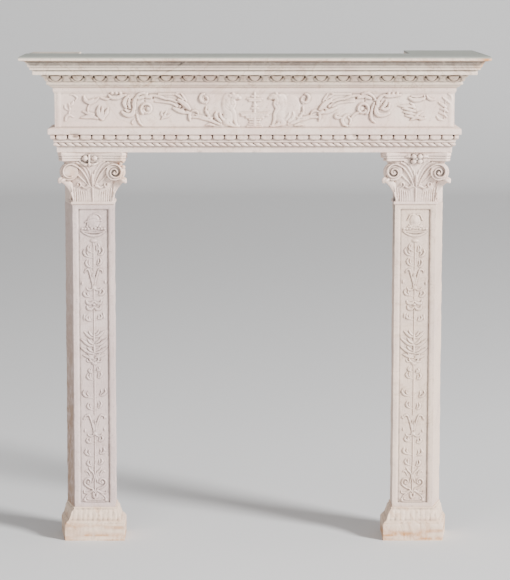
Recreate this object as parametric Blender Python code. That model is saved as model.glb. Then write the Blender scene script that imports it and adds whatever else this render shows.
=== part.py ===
"""Carved marble fireplace mantel with two pilaster legs, a carved lintel and a moulded shelf.

Metres, +Z up, front towards -Y. The origin is on the floor, under the middle of the
whole mantel's box. Each stone is modelled from the legs' front plane, which stands at
LEG_FRONT_Y, and carving is laid out on a face as u (across), w (up) and d (out of the face).
"""
import math

import bmesh
import bpy
from mathutils import Matrix, Vector

# Driving sizes of the whole
OPENING_WIDTH = 0.8888
SHAFT_WIDTH = 0.1285
LEG_DEPTH = 0.100
LEG_SPLAY = 0.031           # how far a leg's outer side spreads from front to back
CORNICE_PROJECTION = 0.149
TAIL_LENGTH = 0.267         # rough tails that run back beside the chimney breast
JOINT = 0.0003              # open joint between two stones

# Heights of the stones
BASE_HEIGHT = 0.103
SHAFT_HEIGHT = 0.975
CAPITAL_HEIGHT = 0.169
LINTEL_HEIGHT = 0.203
CORNICE_HEIGHT = 0.100

# Leg base
PLINTH_HEIGHT = 0.0545
PLINTH_PROJECTION = 0.031
BASE_BACK_SHARE = 0.65      # share of the projection that is left at the back corner
BASE_TONGUES = 5

# Shaft panel
PANEL_MARGIN = 0.018
PANEL_FOOT = 0.014          # plain band below the panel
PANEL_HEAD = 0.0155         # plain band above it
PANEL_DEPTH = 0.005
PANEL_CHAMFER = 0.0035

# Capital
ABACUS_HALF = 0.108
ABACUS_HEIGHT = 0.0225
ABACUS_PROJECTION = 0.044
ABACUS_HOLLOW = 0.012
VOLUTE_RADIUS = 0.0290
VOLUTE_OFFSET = 0.070
VOLUTE_TURNS = 1.4
BELL_FOOT_HALF = 0.0655
ASTRAGAL_HEIGHT = 0.010
ASTRAGAL_PROJECTION = 0.005

# Lintel and cornice
LINTEL_OVERHANG = 0.005     # plan of the lintel beyond the shafts' outer sides
FRIEZE_PROJECTION = 0.0455
FRIEZE_BOTTOM = 0.079       # above the lintel's underside
FRIEZE_TOP = 0.190
TONGUE_COUNT = 33
TONGUE_GAP = 0.0055
TONGUE_GROUND = 0.0504      # projection of the face behind the tongues
TONGUE_HEIGHT = 0.0165
TONGUE_RISE = 0.0100
ROPE_GROUND = 0.0435        # projection of the groove that holds the rope
ROPE_Z = 0.0193             # above the lintel's underside
ROPE_HEIGHT = 0.0125
ROPE_LOBES = 55
EGG_COUNT = 19
EGG_SHARE = 0.58            # width of an egg as a share of the pitch
EGG_GROUND = 0.0700         # projection of the face behind the eggs
EGG_Z = 0.0185              # above the cornice's underside
TAIL_LEFT_WIDTH = 0.157
TAIL_RIGHT_WIDTH = 0.227
TAIL_THICKNESS = 0.033
TAIL_STEP = 0.005           # the left tail lies this much lower than the shelf

# Carving
BURY = 0.0012               # carving is rooted this deep in its ground
RELIEF = 0.0075             # frieze carving
LOW_RELIEF = 0.0046         # pilaster carving

# Worked out from the sizes above
LEG_FRONT_Y = (CORNICE_PROJECTION - LEG_DEPTH - TAIL_LENGTH) / 2
SHAFT_AXIS = OPENING_WIDTH / 2 + SHAFT_WIDTH / 2
LINTEL_HALF = SHAFT_AXIS + SHAFT_WIDTH / 2 + LINTEL_OVERHANG
SHAFT_Z = BASE_HEIGHT
CAPITAL_Z = SHAFT_Z + SHAFT_HEIGHT
LINTEL_Z = CAPITAL_Z + CAPITAL_HEIGHT
CORNICE_Z = LINTEL_Z + LINTEL_HEIGHT
PANEL_HALF = SHAFT_WIDTH / 2 - PANEL_MARGIN
PANEL_HEIGHT = SHAFT_HEIGHT - PANEL_FOOT - PANEL_HEAD

FRONT = Matrix(((1, 0, 0, 0), (0, 0, -1, 0), (0, 1, 0, 0), (0, 0, 0, 1)))
RIGHT_SIDE = Matrix(((0, 0, 1, 0), (1, 0, 0, 0), (0, 1, 0, 0), (0, 0, 0, 1)))
LEFT_SIDE = Matrix(((0, 0, -1, 0), (-1, 0, 0, 0), (0, 1, 0, 0), (0, 0, 0, 1)))


def shell(rings):
    """Closes a stack of rings, each with the same number of points, into one body."""
    mesh = bmesh.new()
    rows = [[mesh.verts.new(point) for point in ring] for ring in rings]
    for low, high in zip(rows, rows[1:]):
        for i in range(len(low)):
            j = (i + 1) % len(low)
            mesh.faces.new((low[i], low[j], high[j], high[i]))
    mesh.faces.new(list(reversed(rows[0])))
    mesh.faces.new(rows[-1])
    return settled(mesh)


def settled(mesh):
    """Merges doubles, turns the faces outwards and returns the mesh."""
    bmesh.ops.remove_doubles(mesh, verts=mesh.verts, dist=1e-6)
    bmesh.ops.recalc_face_normals(mesh, faces=mesh.faces)
    return mesh


def on_face(face, mesh, u=0.0, w=0.0, d=0.0):
    """Puts a carving made in u, w and d onto a face of the stone."""
    mesh.transform(face @ Matrix.Translation((u, w, d)))
    return settled(mesh)


def mirrored(make, *args, **options):
    """Makes a carving twice, once on each side of the middle line."""
    left = make(*args, **options)
    right = make(*args, **options)
    right.transform(Matrix.Scale(-1, 4, (1, 0, 0)))
    return [left, settled(right)]


def box(low, high):
    """A plain block between two corners."""
    rings = []
    for z in (low[2], high[2]):
        rings.append([(low[0], low[1], z), (high[0], low[1], z), (high[0], high[1], z), (low[0], high[1], z)])
    return shell(rings)


def leaf(base, tip, width, rise, bend=0.0, small=False):
    """A pointed leaf with a raised rib, bent sideways by a share of its length."""
    base, tip = Vector(base), Vector(tip)
    along = tip - base
    across = Vector((-along.y, along.x)).normalized() * width / 2
    sway = Vector((-along.y, along.x)) * bend
    mesh = bmesh.new()
    first = mesh.verts.new((base.x, base.y, -BURY))
    last = mesh.verts.new((tip.x, tip.y, -BURY))
    stations = ((0.42, 1.0),) if small else ((0.30, 0.8), (0.66, 1.0))
    rows = []
    for share, swell in stations:
        centre = base + along * share + sway * math.sin(math.pi * share)
        points = (centre + across * swell, centre, centre - across * swell)
        heights = (-BURY, rise, -BURY)
        rows.append([mesh.verts.new((p.x, p.y, h)) for p, h in zip(points, heights)])
    for a, b in ((0, 1), (1, 2)):
        mesh.faces.new((first, rows[0][a], rows[0][b]))
        for low, high in zip(rows, rows[1:]):
            mesh.faces.new((low[a], high[a], high[b], low[b]))
        mesh.faces.new((rows[-1][a], last, rows[-1][b]))
    mesh.faces.new([first] + [row[2] for row in rows] + [last] + [row[0] for row in reversed(rows)])
    return settled(mesh)


def rib(points, width, rise, taper=1.0):
    """A ridge of triangular section along a chain of points."""
    chain = [Vector(point) for point in points]
    rings = []
    for i, point in enumerate(chain):
        ahead = chain[min(i + 1, len(chain) - 1)] - chain[max(i - 1, 0)]
        share = 1 + (taper - 1) * i / (len(chain) - 1)
        across = Vector((-ahead.y, ahead.x)).normalized() * width / 2 * share
        left, right = point + across, point - across
        rings.append([(left.x, left.y, -BURY), (right.x, right.y, -BURY), (point.x, point.y, rise * share)])
    return shell(rings)


def arc(centre, radius, start, end, steps, end_radius=None):
    """Points along an arc in degrees, or along a spiral when the end radius differs."""
    last = radius if end_radius is None else end_radius
    points = []
    for i in range(steps + 1):
        share = i / steps
        angle = math.radians(start + (end - start) * share)
        reach = radius + (last - radius) * share
        points.append((centre[0] + reach * math.cos(angle), centre[1] + reach * math.sin(angle)))
    return points


def mound(centre, radii, rise, angle=0.0, sides=6, crown=0.62):
    """A low dome with an oval foot and a flat crown, turned by an angle in degrees."""
    turn = Matrix.Rotation(math.radians(angle), 2)
    rings = []
    for scale, height in ((1.0, -BURY), (crown, rise)):
        ring = []
        for i in range(sides):
            side = 2 * math.pi * (i + 0.5) / sides
            spot = turn @ Vector((radii[0] * scale * math.cos(side), radii[1] * scale * math.sin(side)))
            ring.append((centre[0] + spot.x, centre[1] + spot.y, height))
        rings.append(ring)
    return shell(rings)


def turned(profile, flatten=0.6, facets=3):
    """Half of a turned form lying on its face, from (radius, height) pairs."""
    rings = []
    for radius, height in profile:
        ring = []
        for i in range(facets + 1):
            angle = math.radians(-100 + 200 * i / facets)
            ring.append((radius * math.sin(angle), height, radius * flatten * math.cos(angle)))
        rings.append(ring)
    return shell(rings)


def material(name, colour, roughness):
    """Plain marble shader for one stone."""
    stone = bpy.data.materials.new(name)
    stone.use_nodes = True
    shader = stone.node_tree.nodes["Principled BSDF"]
    shader.inputs["Base Color"].default_value = (*colour, 1.0)
    shader.inputs["Roughness"].default_value = roughness
    shader.inputs["Metallic"].default_value = 0.0
    stone.diffuse_color = (*colour, 1.0)
    return stone


def loose_object(name, mesh):
    """Turns a bmesh into an object that is in the scene."""
    data = bpy.data.meshes.new(name)
    mesh.to_mesh(data)
    mesh.free()
    thing = bpy.data.objects.new(name, data)
    bpy.context.scene.collection.objects.link(thing)
    return thing


def combine(block, pieces, operation):
    """Joins or cuts many bodies with one block and keeps the result as its mesh."""
    group = bpy.data.collections.new("carving")
    for index, piece in enumerate(pieces):
        thing = loose_object(f"carving_{index}", piece)
        bpy.context.scene.collection.objects.unlink(thing)
        group.objects.link(thing)
    bpy.context.scene.collection.children.link(group)
    step = block.modifiers.new("carving", "BOOLEAN")
    step.operation = operation
    step.operand_type = "COLLECTION"
    step.collection = group
    step.solver = "EXACT"
    depsgraph = bpy.context.evaluated_depsgraph_get()
    result = bpy.data.meshes.new_from_object(block.evaluated_get(depsgraph))
    block.modifiers.clear()
    old, block.data = block.data, result
    bpy.data.meshes.remove(old)
    for thing in list(group.objects):
        bpy.data.objects.remove(thing, do_unlink=True)
    bpy.data.collections.remove(group)


def stone(name, body, place, finish, cuts=(), carving=()):
    """Makes one stone: its body, less what is cut, with its carving joined on."""
    block = loose_object(name, body)
    if cuts:
        combine(block, cuts, "DIFFERENCE")
    if carving:
        combine(block, carving, "UNION")
    block.data.name = name
    block.data.materials.clear()
    block.data.materials.append(finish)
    block.location = (0.0, LEG_FRONT_Y, place)
    return block


def leg_ring(side, out, height, back_share=1.0):
    """Plan of a leg, pushed out by a projection: square inside, splayed outside."""
    inner = SHAFT_AXIS - SHAFT_WIDTH / 2 - out
    outer = SHAFT_AXIS + SHAFT_WIDTH / 2 + out
    outer_back = SHAFT_AXIS + SHAFT_WIDTH / 2 + LEG_SPLAY + out * back_share
    return [(side * inner, -out, height), (side * outer, -out, height),
            (side * outer_back, LEG_DEPTH, height), (side * inner, LEG_DEPTH, height)]


def course_ring(out, height):
    """Plan of the lintel or cornice at one projection, with mitred corners."""
    half = LINTEL_HALF + out
    return [(-half, -out, height), (half, -out, height),
            (half, LEG_DEPTH, height), (-half, LEG_DEPTH, height)]


def base_stone(side, name, finish):
    """Plinth and flared base moulding with upright tongues on the slope."""
    reach = PLINTH_PROJECTION
    slope = BASE_HEIGHT - PLINTH_HEIGHT
    profile = ((reach, 0.0), (reach, PLINTH_HEIGHT), (0.87 * reach, PLINTH_HEIGHT + 0.02 * slope),
               (0.85 * reach, PLINTH_HEIGHT + 0.08 * slope), (0.60 * reach, PLINTH_HEIGHT + 0.20 * slope),
               (0.42 * reach, PLINTH_HEIGHT + 0.50 * slope), (0.30 * reach, PLINTH_HEIGHT + 0.74 * slope),
               (0.10 * reach, PLINTH_HEIGHT + 0.88 * slope), (0.14 * reach, PLINTH_HEIGHT + 0.90 * slope),
               (0.12 * reach, BASE_HEIGHT - JOINT))
    body = shell([leg_ring(side, out, z, BASE_BACK_SHARE) for out, z in profile])
    pitch = (SHAFT_WIDTH + 0.5 * reach) / BASE_TONGUES
    carving = []
    for i in range(BASE_TONGUES):
        u = side * SHAFT_AXIS + pitch * (i - (BASE_TONGUES - 1) / 2)
        low = (u, PLINTH_HEIGHT + 0.16 * slope)
        high = (u, PLINTH_HEIGHT + 0.84 * slope)
        carving.append(on_face(FRONT, leaf(high, low, 0.8 * pitch, 0.20 * reach, small=True),
                               d=0.36 * reach))
    return stone(name, body, 0.0, finish, carving=carving)


def panel_cutter(side):
    """The sunk panel of a shaft, with sloping edges."""
    rings = []
    for out, depth in ((PANEL_CHAMFER * 1.2, -PANEL_DEPTH * 0.2), (0.0, PANEL_DEPTH)):
        half = PANEL_HALF + out
        low, high = PANEL_FOOT - out, PANEL_FOOT + PANEL_HEIGHT + out
        centre = side * SHAFT_AXIS
        rings.append([(centre - half, depth, low), (centre + half, depth, low),
                      (centre + half, depth, high), (centre - half, depth, high)])
    return shell(rings)


def leaf_pair(height, reach, spread, width, bend=0.0, start=0.003):
    """Two leaves that leave the stem at one height and spread to both sides."""
    angle = math.radians(spread)
    base = (start, height)
    tip = (start + reach * math.cos(angle), height + reach * math.sin(angle))
    return mirrored(leaf, base, tip, width, LOW_RELIEF, bend=bend, small=reach < 0.7 * PANEL_HALF)


def candelabrum(shield):
    """Carving of one pilaster panel, from the ball feet up to its top ornament."""
    tall = PANEL_HEIGHT
    half = PANEL_HALF
    low = LOW_RELIEF
    pieces = []
    stem = [(0.0, tall * share) for share in (0.06, 0.30, 0.50, 0.70, 0.90)]
    pieces.append(rib(stem, 0.006, low * 0.8))
    # Stepped pedestal and the two S scrolls of the lyre
    pieces.append(turned(((half * 0.36, 0.003), (half * 0.34, 0.010), (half * 0.16, 0.014),
                          (half * 0.12, 0.024), (half * 0.25, 0.028), (half * 0.22, 0.033)), 0.30))
    scroll = arc((half * 0.44, tall * 0.072), half * 0.30, -60, 220, 6, half * 0.12)
    pieces += mirrored(rib, scroll, 0.0085, low)
    foot = arc((half * 0.22, tall * 0.040), half * 0.34, -10, 95, 3)
    pieces += mirrored(rib, foot, 0.0075, low)
    pieces += mirrored(mound, (half * 0.60, tall * 0.034), (0.006, 0.006), low)
    # Leaves in pairs: height on the panel, reach and width as shares of the half width
    leaves = ((0.100, 0.45, 62, 0.20), (0.150, 0.55, 32, 0.22), (0.175, 0.50, 55, 0.20),
              (0.315, 0.62, 48, 0.24), (0.355, 0.66, 40, 0.24), (0.415, 0.60, 42, 0.24),
              (0.500, 0.92, 22, 0.32), (0.528, 0.98, 34, 0.32), (0.560, 0.66, 56, 0.28),
              (0.590, 0.50, 40, 0.24), (0.630, 0.44, 66, 0.18), (0.800, 0.62, 38, 0.24),
              (0.850, 0.66, 30, 0.34))
    for share, reach, spread, width in leaves:
        pieces += leaf_pair(tall * share, half * reach, spread, half * width, bend=-0.12)
    # Two open calyxes with long outer tips
    for share, length in ((0.235, 0.055), (0.745, 0.045)):
        foot_z = tall * share
        side = [(0.002, foot_z), (half * 0.20, foot_z + length * 0.45), (half * 0.52, foot_z + length)]
        pieces += mirrored(rib, side, 0.009, low)
        pieces += mirrored(leaf, (half * 0.50, foot_z + length * 0.9), (half * 0.86, foot_z + length * 0.62),
                           0.009, low, small=True)
        pieces.append(mound((0.0, foot_z), (0.008, 0.006), low))
    # Four-petal rosette
    centre = tall * 0.671
    for angle in (45, 135, 225, 315):
        turn = math.radians(angle)
        tip = (half * 0.36 * math.cos(turn), centre + half * 0.36 * math.sin(turn))
        pieces.append(leaf((0.0, centre), tip, half * 0.24, low, small=True))
    pieces.append(mound((0.0, centre), (0.006, 0.006), low * 1.1))
    # Knots on the stem
    for share in (0.485, 0.888):
        pieces.append(mound((0.0, tall * share), (0.012, 0.007), low))
    # Shallow dish and the ornament above it
    dish = tall * 0.903
    pieces.append(turned(((half * 0.10, dish), (half * 0.30, dish + 0.007), (half * 0.73, dish + 0.013),
                          (half * 0.70, dish + 0.017), (half * 0.12, dish + 0.020),
                          (half * 0.16, dish + 0.028)), 0.16))
    top = tall * 0.958
    if shield:
        pieces.append(mound((0.0, top), (half * 0.46, 0.017), low, sides=8, crown=0.86))
    else:
        pieces.append(turned(((half * 0.28, top - 0.018), (half * 0.50, top - 0.008), (half * 0.44, top),
                              (half * 0.50, top + 0.003), (half * 0.30, top + 0.014),
                              (half * 0.06, top + 0.020)), 0.22))
    return pieces


def shaft_stone(side, name, finish):
    """Splayed shaft with a sunk panel and its low carving."""
    body = shell([leg_ring(side, 0.0, 0.0), leg_ring(side, 0.0, SHAFT_HEIGHT - JOINT)])
    carving = [on_face(FRONT, piece, u=side * SHAFT_AXIS, w=PANEL_FOOT, d=-PANEL_DEPTH)
               for piece in candelabrum(shield=side > 0)]
    return stone(name, body, SHAFT_Z, finish, cuts=[panel_cutter(side)], carving=carving)


def bell_ring(half, front, height, back):
    """Plan of the capital's bell, with soft corners and a slightly full front."""
    soft = 0.3 * half
    return [(-half, back, height), (-half, soft * 0.6 - front, height), (-half + soft, -front, height),
            (0.0, -front - 0.05 * half, height), (half - soft, -front, height),
            (half, soft * 0.6 - front, height), (half, back, height)]


def abacus_ring(half, front, hollow, height, back):
    """Plan of the abacus: cut corners and hollow sides."""
    horn = 0.14 * half
    points = [(-half, back, height), (-half + hollow * 0.8, 0.35 * (back - front), height),
              (-half, horn - front, height), (-half + horn, -front, height)]
    for share in (-0.5, 0.0, 0.5):
        points.append((half * share, -front + hollow * (1 - 1.6 * share * share), height))
    points += [(half - horn, -front, height), (half, horn - front, height),
               (half - hollow * 0.8, 0.35 * (back - front), height), (half, back, height)]
    return points


def capital_stone(side, name, finish):
    """Capital with a leafy bell, two front volutes and a hollow-sided abacus."""
    tall = CAPITAL_HEIGHT
    top = tall - ABACUS_HEIGHT
    centre = side * SHAFT_AXIS
    backing = [leg_ring(side, 0.0, z) for z in (0.0, tall - JOINT)]
    for ring in backing:
        for i in (0, 1):
            ring[i] = (ring[i][0] + (0 if i == 0 else side * LEG_SPLAY * 0.35), LEG_DEPTH * 0.35, ring[i][2])
    body = shell(backing)
    pieces = []
    foot = [leg_ring(side, 0.0, 0.0), leg_ring(side, 0.0, 0.0012)]
    swell = ((ASTRAGAL_PROJECTION, 0.0022), (ASTRAGAL_PROJECTION, ASTRAGAL_HEIGHT),
             (0.0, ASTRAGAL_HEIGHT + 0.0015), (0.0, ASTRAGAL_HEIGHT + 0.004))
    pieces.append(shell(foot + [leg_ring(side, out, z, 0.0) for out, z in swell]))
    flare = ((BELL_FOOT_HALF, 0.002, ASTRAGAL_HEIGHT), (BELL_FOOT_HALF + 0.002, 0.003, 0.22 * tall),
             (BELL_FOOT_HALF + 0.010, 0.006, 0.42 * tall), (BELL_FOOT_HALF + 0.016, 0.014, 0.58 * tall),
             (BELL_FOOT_HALF + 0.026, 0.024, 0.76 * tall), (BELL_FOOT_HALF + 0.032, 0.030, top + 0.002))
    bell = shell([bell_ring(half, front, z, LEG_DEPTH * 0.5) for half, front, z in flare])
    bell.transform(Matrix.Translation((centre, 0, 0)))
    pieces.append(bell)
    edge = ABACUS_HALF
    bands = ((0.014, top), (0.009, top + 0.0090), (0.001, top + 0.0115), (0.0, tall - JOINT))
    slab = shell([abacus_ring(edge - inset, ABACUS_PROJECTION - inset, ABACUS_HOLLOW, z, LEG_DEPTH * 0.92)
                  for inset, z in bands])
    slab.transform(Matrix.Translation((centre, 0, 0)))
    pieces.append(slab)
    carving = capital_carving(tall, top)
    pieces += [on_face(FRONT, piece, u=centre) for piece in carving]
    return stone(name, body, CAPITAL_Z, finish, carving=pieces)


def capital_carving(tall, top):
    """Volutes, stalks, leaves and the flower of a capital, about its own middle line."""
    pieces = []
    eye = (VOLUTE_OFFSET, top - VOLUTE_RADIUS * 1.42)
    face = ABACUS_PROJECTION * 0.70
    rings = []
    for depth, scale in ((0.002, 0.86), (face, 0.94), (face + 0.003, 0.80)):
        rings.append([(eye[0] + x * scale, eye[1] + y * scale, depth)
                      for x, y in arc((0, 0), VOLUTE_RADIUS, 18, 342, 9)])
    for sign in (1, -1):
        roll = shell([[(sign * x, y, z) for x, y, z in ring] for ring in rings])
        pieces.append(roll)
        scroll = arc(eye, VOLUTE_RADIUS * 0.94, 100, 100 - 360 * VOLUTE_TURNS, 12, VOLUTE_RADIUS * 0.26)
        ridge = rib([(sign * x, y) for x, y in scroll], 0.0085, 0.0045, taper=0.6)
        ridge.transform(Matrix.Translation((0, 0, face + 0.001)))
        pieces.append(ridge)
        # Stalks that fan out of the middle to the volute
        for spread in (0.0, 0.30):
            start = (sign * 0.006, 0.40 * tall)
            middle = (sign * VOLUTE_OFFSET * (0.34 + spread * 0.3), 0.60 * tall)
            end = (sign * VOLUTE_OFFSET * (0.66 + spread), top - 0.004)
            stalk = rib((start, middle, end), 0.012, 0.011, taper=1.2)
            stalk.transform(Matrix.Translation((0, 0, 0.016)))
            pieces.append(stalk)
        # Curled leaf tip under the volute
        hook = leaf((sign * 0.060, 0.36 * tall), (sign * 0.103, 0.47 * tall), 0.024, 0.014, bend=sign * 0.15)
        hook.transform(Matrix.Translation((0, 0, 0.008)))
        pieces.append(hook)
        corner = leaf((sign * 0.050, ASTRAGAL_HEIGHT + 0.002), (sign * 0.062, 0.46 * tall), 0.030, 0.011)
        corner.transform(Matrix.Translation((0, 0, 0.002)))
        pieces.append(corner)
        inner = leaf((sign * 0.016, ASTRAGAL_HEIGHT + 0.002), (sign * 0.030, 0.34 * tall), 0.022, 0.009)
        inner.transform(Matrix.Translation((0, 0, 0.003)))
        pieces.append(inner)
    middle = leaf((0.0, ASTRAGAL_HEIGHT + 0.004), (0.0, 0.50 * tall), 0.030, 0.012)
    middle.transform(Matrix.Translation((0, 0, 0.004)))
    pieces.append(middle)
    flower = mound((0.0, top + 0.001), (0.024, 0.017), 0.010, sides=8)
    flower.transform(Matrix.Translation((0, 0, ABACUS_PROJECTION * 0.62)))
    pieces.append(flower)
    return pieces


def spot(across, up):
    """A point of the frieze, from shares of its half width and of its height."""
    return (across * (LINTEL_HALF + FRIEZE_PROJECTION), up * (FRIEZE_TOP - FRIEZE_BOTTOM))


def turned_tip(start, reach, angle):
    """The point at a reach and an angle in degrees from a start."""
    turn = math.radians(angle)
    return (start[0] + reach * math.cos(turn), start[1] + reach * math.sin(turn))


def beast():
    """Seated winged beast that faces the fountain, on the right of the middle line."""
    tall = FRIEZE_TOP - FRIEZE_BOTTOM
    high = RELIEF
    return [mound(spot(0.128, 0.26), (0.171 * tall, 0.216 * tall), high * 0.9, 15, sides=8),
            mound(spot(0.109, 0.54), (0.117 * tall, 0.270 * tall), high, 8, sides=8),
            mound(spot(0.091, 0.85), (0.108 * tall, 0.099 * tall), high),
            leaf(spot(0.083, 0.84), spot(0.064, 0.79), 0.008, high * 0.8, small=True),
            leaf(spot(0.122, 0.46), spot(0.162, 0.92), 0.024, high * 0.9, bend=-0.18),
            rib((spot(0.103, 0.44), spot(0.096, 0.20), spot(0.083, 0.03)), 0.009, high * 0.8),
            rib((spot(0.138, 0.12), spot(0.106, 0.04)), 0.010, high * 0.7)]


def tail_and_horn():
    """The beast's long tail, the horn it ends in and the tendril above it."""
    high = RELIEF
    curl = arc(spot(0.253, 0.72), 0.014, 260, 520, 4, 0.008)
    return [rib((spot(0.157, 0.10), spot(0.209, 0.04), spot(0.265, 0.10), spot(0.329, 0.22)),
                0.009, high * 0.7),
            leaf(spot(0.321, 0.10), spot(0.390, 0.66), 0.026, high, bend=0.10),
            rib([spot(0.241, 0.10), spot(0.253, 0.42)] + curl, 0.006, high * 0.7),
            leaf(spot(0.257, 0.30), spot(0.305, 0.52), 0.014, high * 0.8, small=True),
            rib((spot(0.390, 0.55), spot(0.441, 0.74), spot(0.513, 0.88), spot(0.585, 0.88),
                 spot(0.634, 0.74)), 0.009, high * 0.75),
            leaf(spot(0.414, 0.34), spot(0.475, 0.10), 0.018, high * 0.9, bend=0.12)]


def acanthus_scroll():
    """Spiral ring with a fan of leaves, and the leaf tip beyond it."""
    high = RELIEF
    eye = spot(0.542, 0.46)
    pieces = [rib(arc(eye, 0.026, 95, -265, 8, 0.011), 0.009, high * 0.9),
              mound(eye, (0.007, 0.007), high * 0.9)]
    for angle, reach in ((70, 0.036), (38, 0.042), (8, 0.044), (-24, 0.042), (-56, 0.038)):
        start = turned_tip(spot(0.600, 0.50), 0.008, angle)
        pieces.append(leaf(start, turned_tip(start, reach, angle), 0.015, high, bend=0.10, small=True))
    pieces.append(leaf(spot(0.638, 0.82), spot(0.715, 0.86), 0.015, high * 0.8, bend=0.10, small=True))
    return pieces


def thistle():
    """Spiky leaf with a cup flower on it and a curl beside it."""
    high = RELIEF
    heart = spot(0.797, 0.36)
    pieces = []
    for angle, reach in ((150, 0.038), (195, 0.034), (240, 0.026), (300, 0.030), (345, 0.034), (30, 0.030)):
        pieces.append(leaf(heart, turned_tip(heart, reach, angle), 0.015, high * 0.85, small=True))
    top = spot(0.804, 0.66)
    pieces.append(rib((heart, top), 0.008, high * 0.7))
    cup = turned(((0.006, 0.0), (0.024, 0.008), (0.022, 0.014), (0.012, 0.018)), 0.32)
    cup.transform(Matrix.Translation((top[0], top[1], 0)))
    pieces.append(cup)
    pieces.append(rib(arc(spot(0.874, 0.76), 0.013, 200, 350, 4), 0.006, high * 0.6))
    return pieces


def end_spray():
    """Upright spray of small leaves at the end of the frieze."""
    pieces = []
    for up, reach, angle in ((0.10, 0.024, 65), (0.30, 0.026, 20), (0.34, 0.026, 150),
                             (0.56, 0.024, 30), (0.66, 0.026, 118)):
        start = spot(0.946 + 0.016 * up, up)
        tip = turned_tip(start, reach, angle)
        pieces.append(leaf(start, tip, 0.011, RELIEF * 0.8, bend=0.08, small=True))
    return pieces


def frieze_half():
    """Right half of the frieze carving."""
    return beast() + tail_and_horn() + acanthus_scroll() + thistle() + end_spray()


def fountain():
    """Two-tier fountain in the middle of the frieze."""
    tall = FRIEZE_TOP - FRIEZE_BOTTOM
    profile = ((0.020, 0.01), (0.019, 0.05), (0.008, 0.10), (0.009, 0.16), (0.030, 0.22), (0.044, 0.36),
               (0.043, 0.40), (0.012, 0.42), (0.006, 0.52), (0.010, 0.58), (0.005, 0.66), (0.012, 0.74),
               (0.0235, 0.79), (0.0225, 0.82), (0.008, 0.85), (0.008, 0.90), (0.002, 0.96))
    return turned([(radius, share * tall) for radius, share in profile], 0.30, facets=4)


def rope_ring(u, lean, rise):
    """One leaning section of the twisted course."""
    return [(u - lean, ROPE_HEIGHT, -BURY), (u, ROPE_HEIGHT / 2, rise), (u + lean, 0.0002, -BURY)]


def rope_strip(length, lobes):
    """Twisted course as one body with a slanted crest for each lobe."""
    pitch = length / lobes
    lean = 0.32 * pitch
    rings = []
    for i in range(lobes):
        start = -length / 2 + i * pitch
        for share, rise in ((0.10, 0.0010), (0.55, 0.0068)):
            u = start + share * pitch
            rings.append(rope_ring(u, lean, rise))
    rings.append(rope_ring(length / 2, lean, 0.0010))
    return shell(rings)


def tongue(width, tall, rise):
    """One tongue of the slotted course: straight sides and a rounded foot."""
    half = width / 2
    outline = ((-half, tall), (-half, 0.36 * tall), (-0.62 * half, 0.02 * tall),
               (0.62 * half, 0.02 * tall), (half, 0.36 * tall), (half, tall))
    rings = [[(u, w, -BURY) for u, w in outline],
             [(u, w, rise * (0.80 + 0.20 * w / tall)) for u, w in outline]]
    return shell(rings)


def course(make, half_length, count, projection, gap, height):
    """Places a repeated carving along the front and, as far as there is room, along both sides."""
    pieces = []
    pitch = 2 * half_length / count
    for i in range(count):
        u = -half_length + pitch * (i + 0.5)
        pieces.append(on_face(FRONT, make(pitch), u=u, w=height, d=projection))
    room = LEG_DEPTH + projection
    side_count = int((room + gap) / pitch)
    spare = (room - side_count * pitch) / 2
    for face, sign in ((RIGHT_SIDE, 1), (LEFT_SIDE, -1)):
        for i in range(side_count):
            back = -projection + spare + pitch * (i + 0.5)
            pieces.append(on_face(face, make(pitch), u=sign * back, w=height, d=LINTEL_HALF + projection))
    return pieces


def lintel_stone(finish):
    """Architrave mouldings and carved frieze in one stone, laid across both capitals."""
    ledge = FRIEZE_PROJECTION + 0.021
    face = FRIEZE_PROJECTION
    profile = ((0.0400, JOINT), (0.0400, 0.0175), (0.0435, 0.0195), (0.0435, 0.0315), (0.0500, 0.0325),
               (0.0500, 0.0390), (0.0505, 0.0570), (ledge, 0.0575), (ledge, 0.0750), (ledge - 0.007, 0.0775),
               (face, FRIEZE_BOTTOM), (face, FRIEZE_TOP - 0.006), (face + 0.005, FRIEZE_TOP + 0.002),
               (face + 0.005, LINTEL_HEIGHT - JOINT))
    body = shell([course_ring(out, z) for out, z in profile])
    carving = []

    def one_tongue(pitch):
        """A tongue that leaves the slot beside it open."""
        return tongue(pitch - TONGUE_GAP, TONGUE_HEIGHT, TONGUE_RISE)

    carving += course(one_tongue, LINTEL_HALF + FRIEZE_PROJECTION - 0.0025, TONGUE_COUNT,
                      TONGUE_GROUND, TONGUE_GAP, 0.0408)
    rope_length = 2 * (LINTEL_HALF + ROPE_GROUND)
    carving.append(on_face(FRONT, rope_strip(rope_length, ROPE_LOBES), w=ROPE_Z, d=ROPE_GROUND))
    depth = LEG_DEPTH + ROPE_GROUND - 0.010
    lobes = round(depth / rope_length * ROPE_LOBES)
    for side, sign in ((RIGHT_SIDE, 1), (LEFT_SIDE, -1)):
        middle = sign * (LEG_DEPTH - ROPE_GROUND) / 2
        strip = rope_strip(depth, lobes)
        carving.append(on_face(side, strip, u=middle, w=ROPE_Z, d=LINTEL_HALF + ROPE_GROUND))
    for piece in frieze_half():
        twin = piece.copy()
        twin.transform(Matrix.Scale(-1, 4, (1, 0, 0)))
        for half in (piece, settled(twin)):
            carving.append(on_face(FRONT, half, w=FRIEZE_BOTTOM, d=face))
    carving.append(on_face(FRONT, fountain(), w=FRIEZE_BOTTOM, d=face))
    return stone("lintel", body, LINTEL_Z, finish, carving=carving)


def egg(pitch):
    """One egg of the egg-and-dart course, in its cup."""
    return mound((0.0, 0.0100), (EGG_SHARE / 2 * pitch, 0.0098), 0.0120, sides=8, crown=0.60)


def dart(pitch):
    """The leaf between two eggs."""
    return leaf((0.0, 0.0195), (0.0, 0.0010), 0.30 * pitch, 0.0080, small=True)


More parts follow.
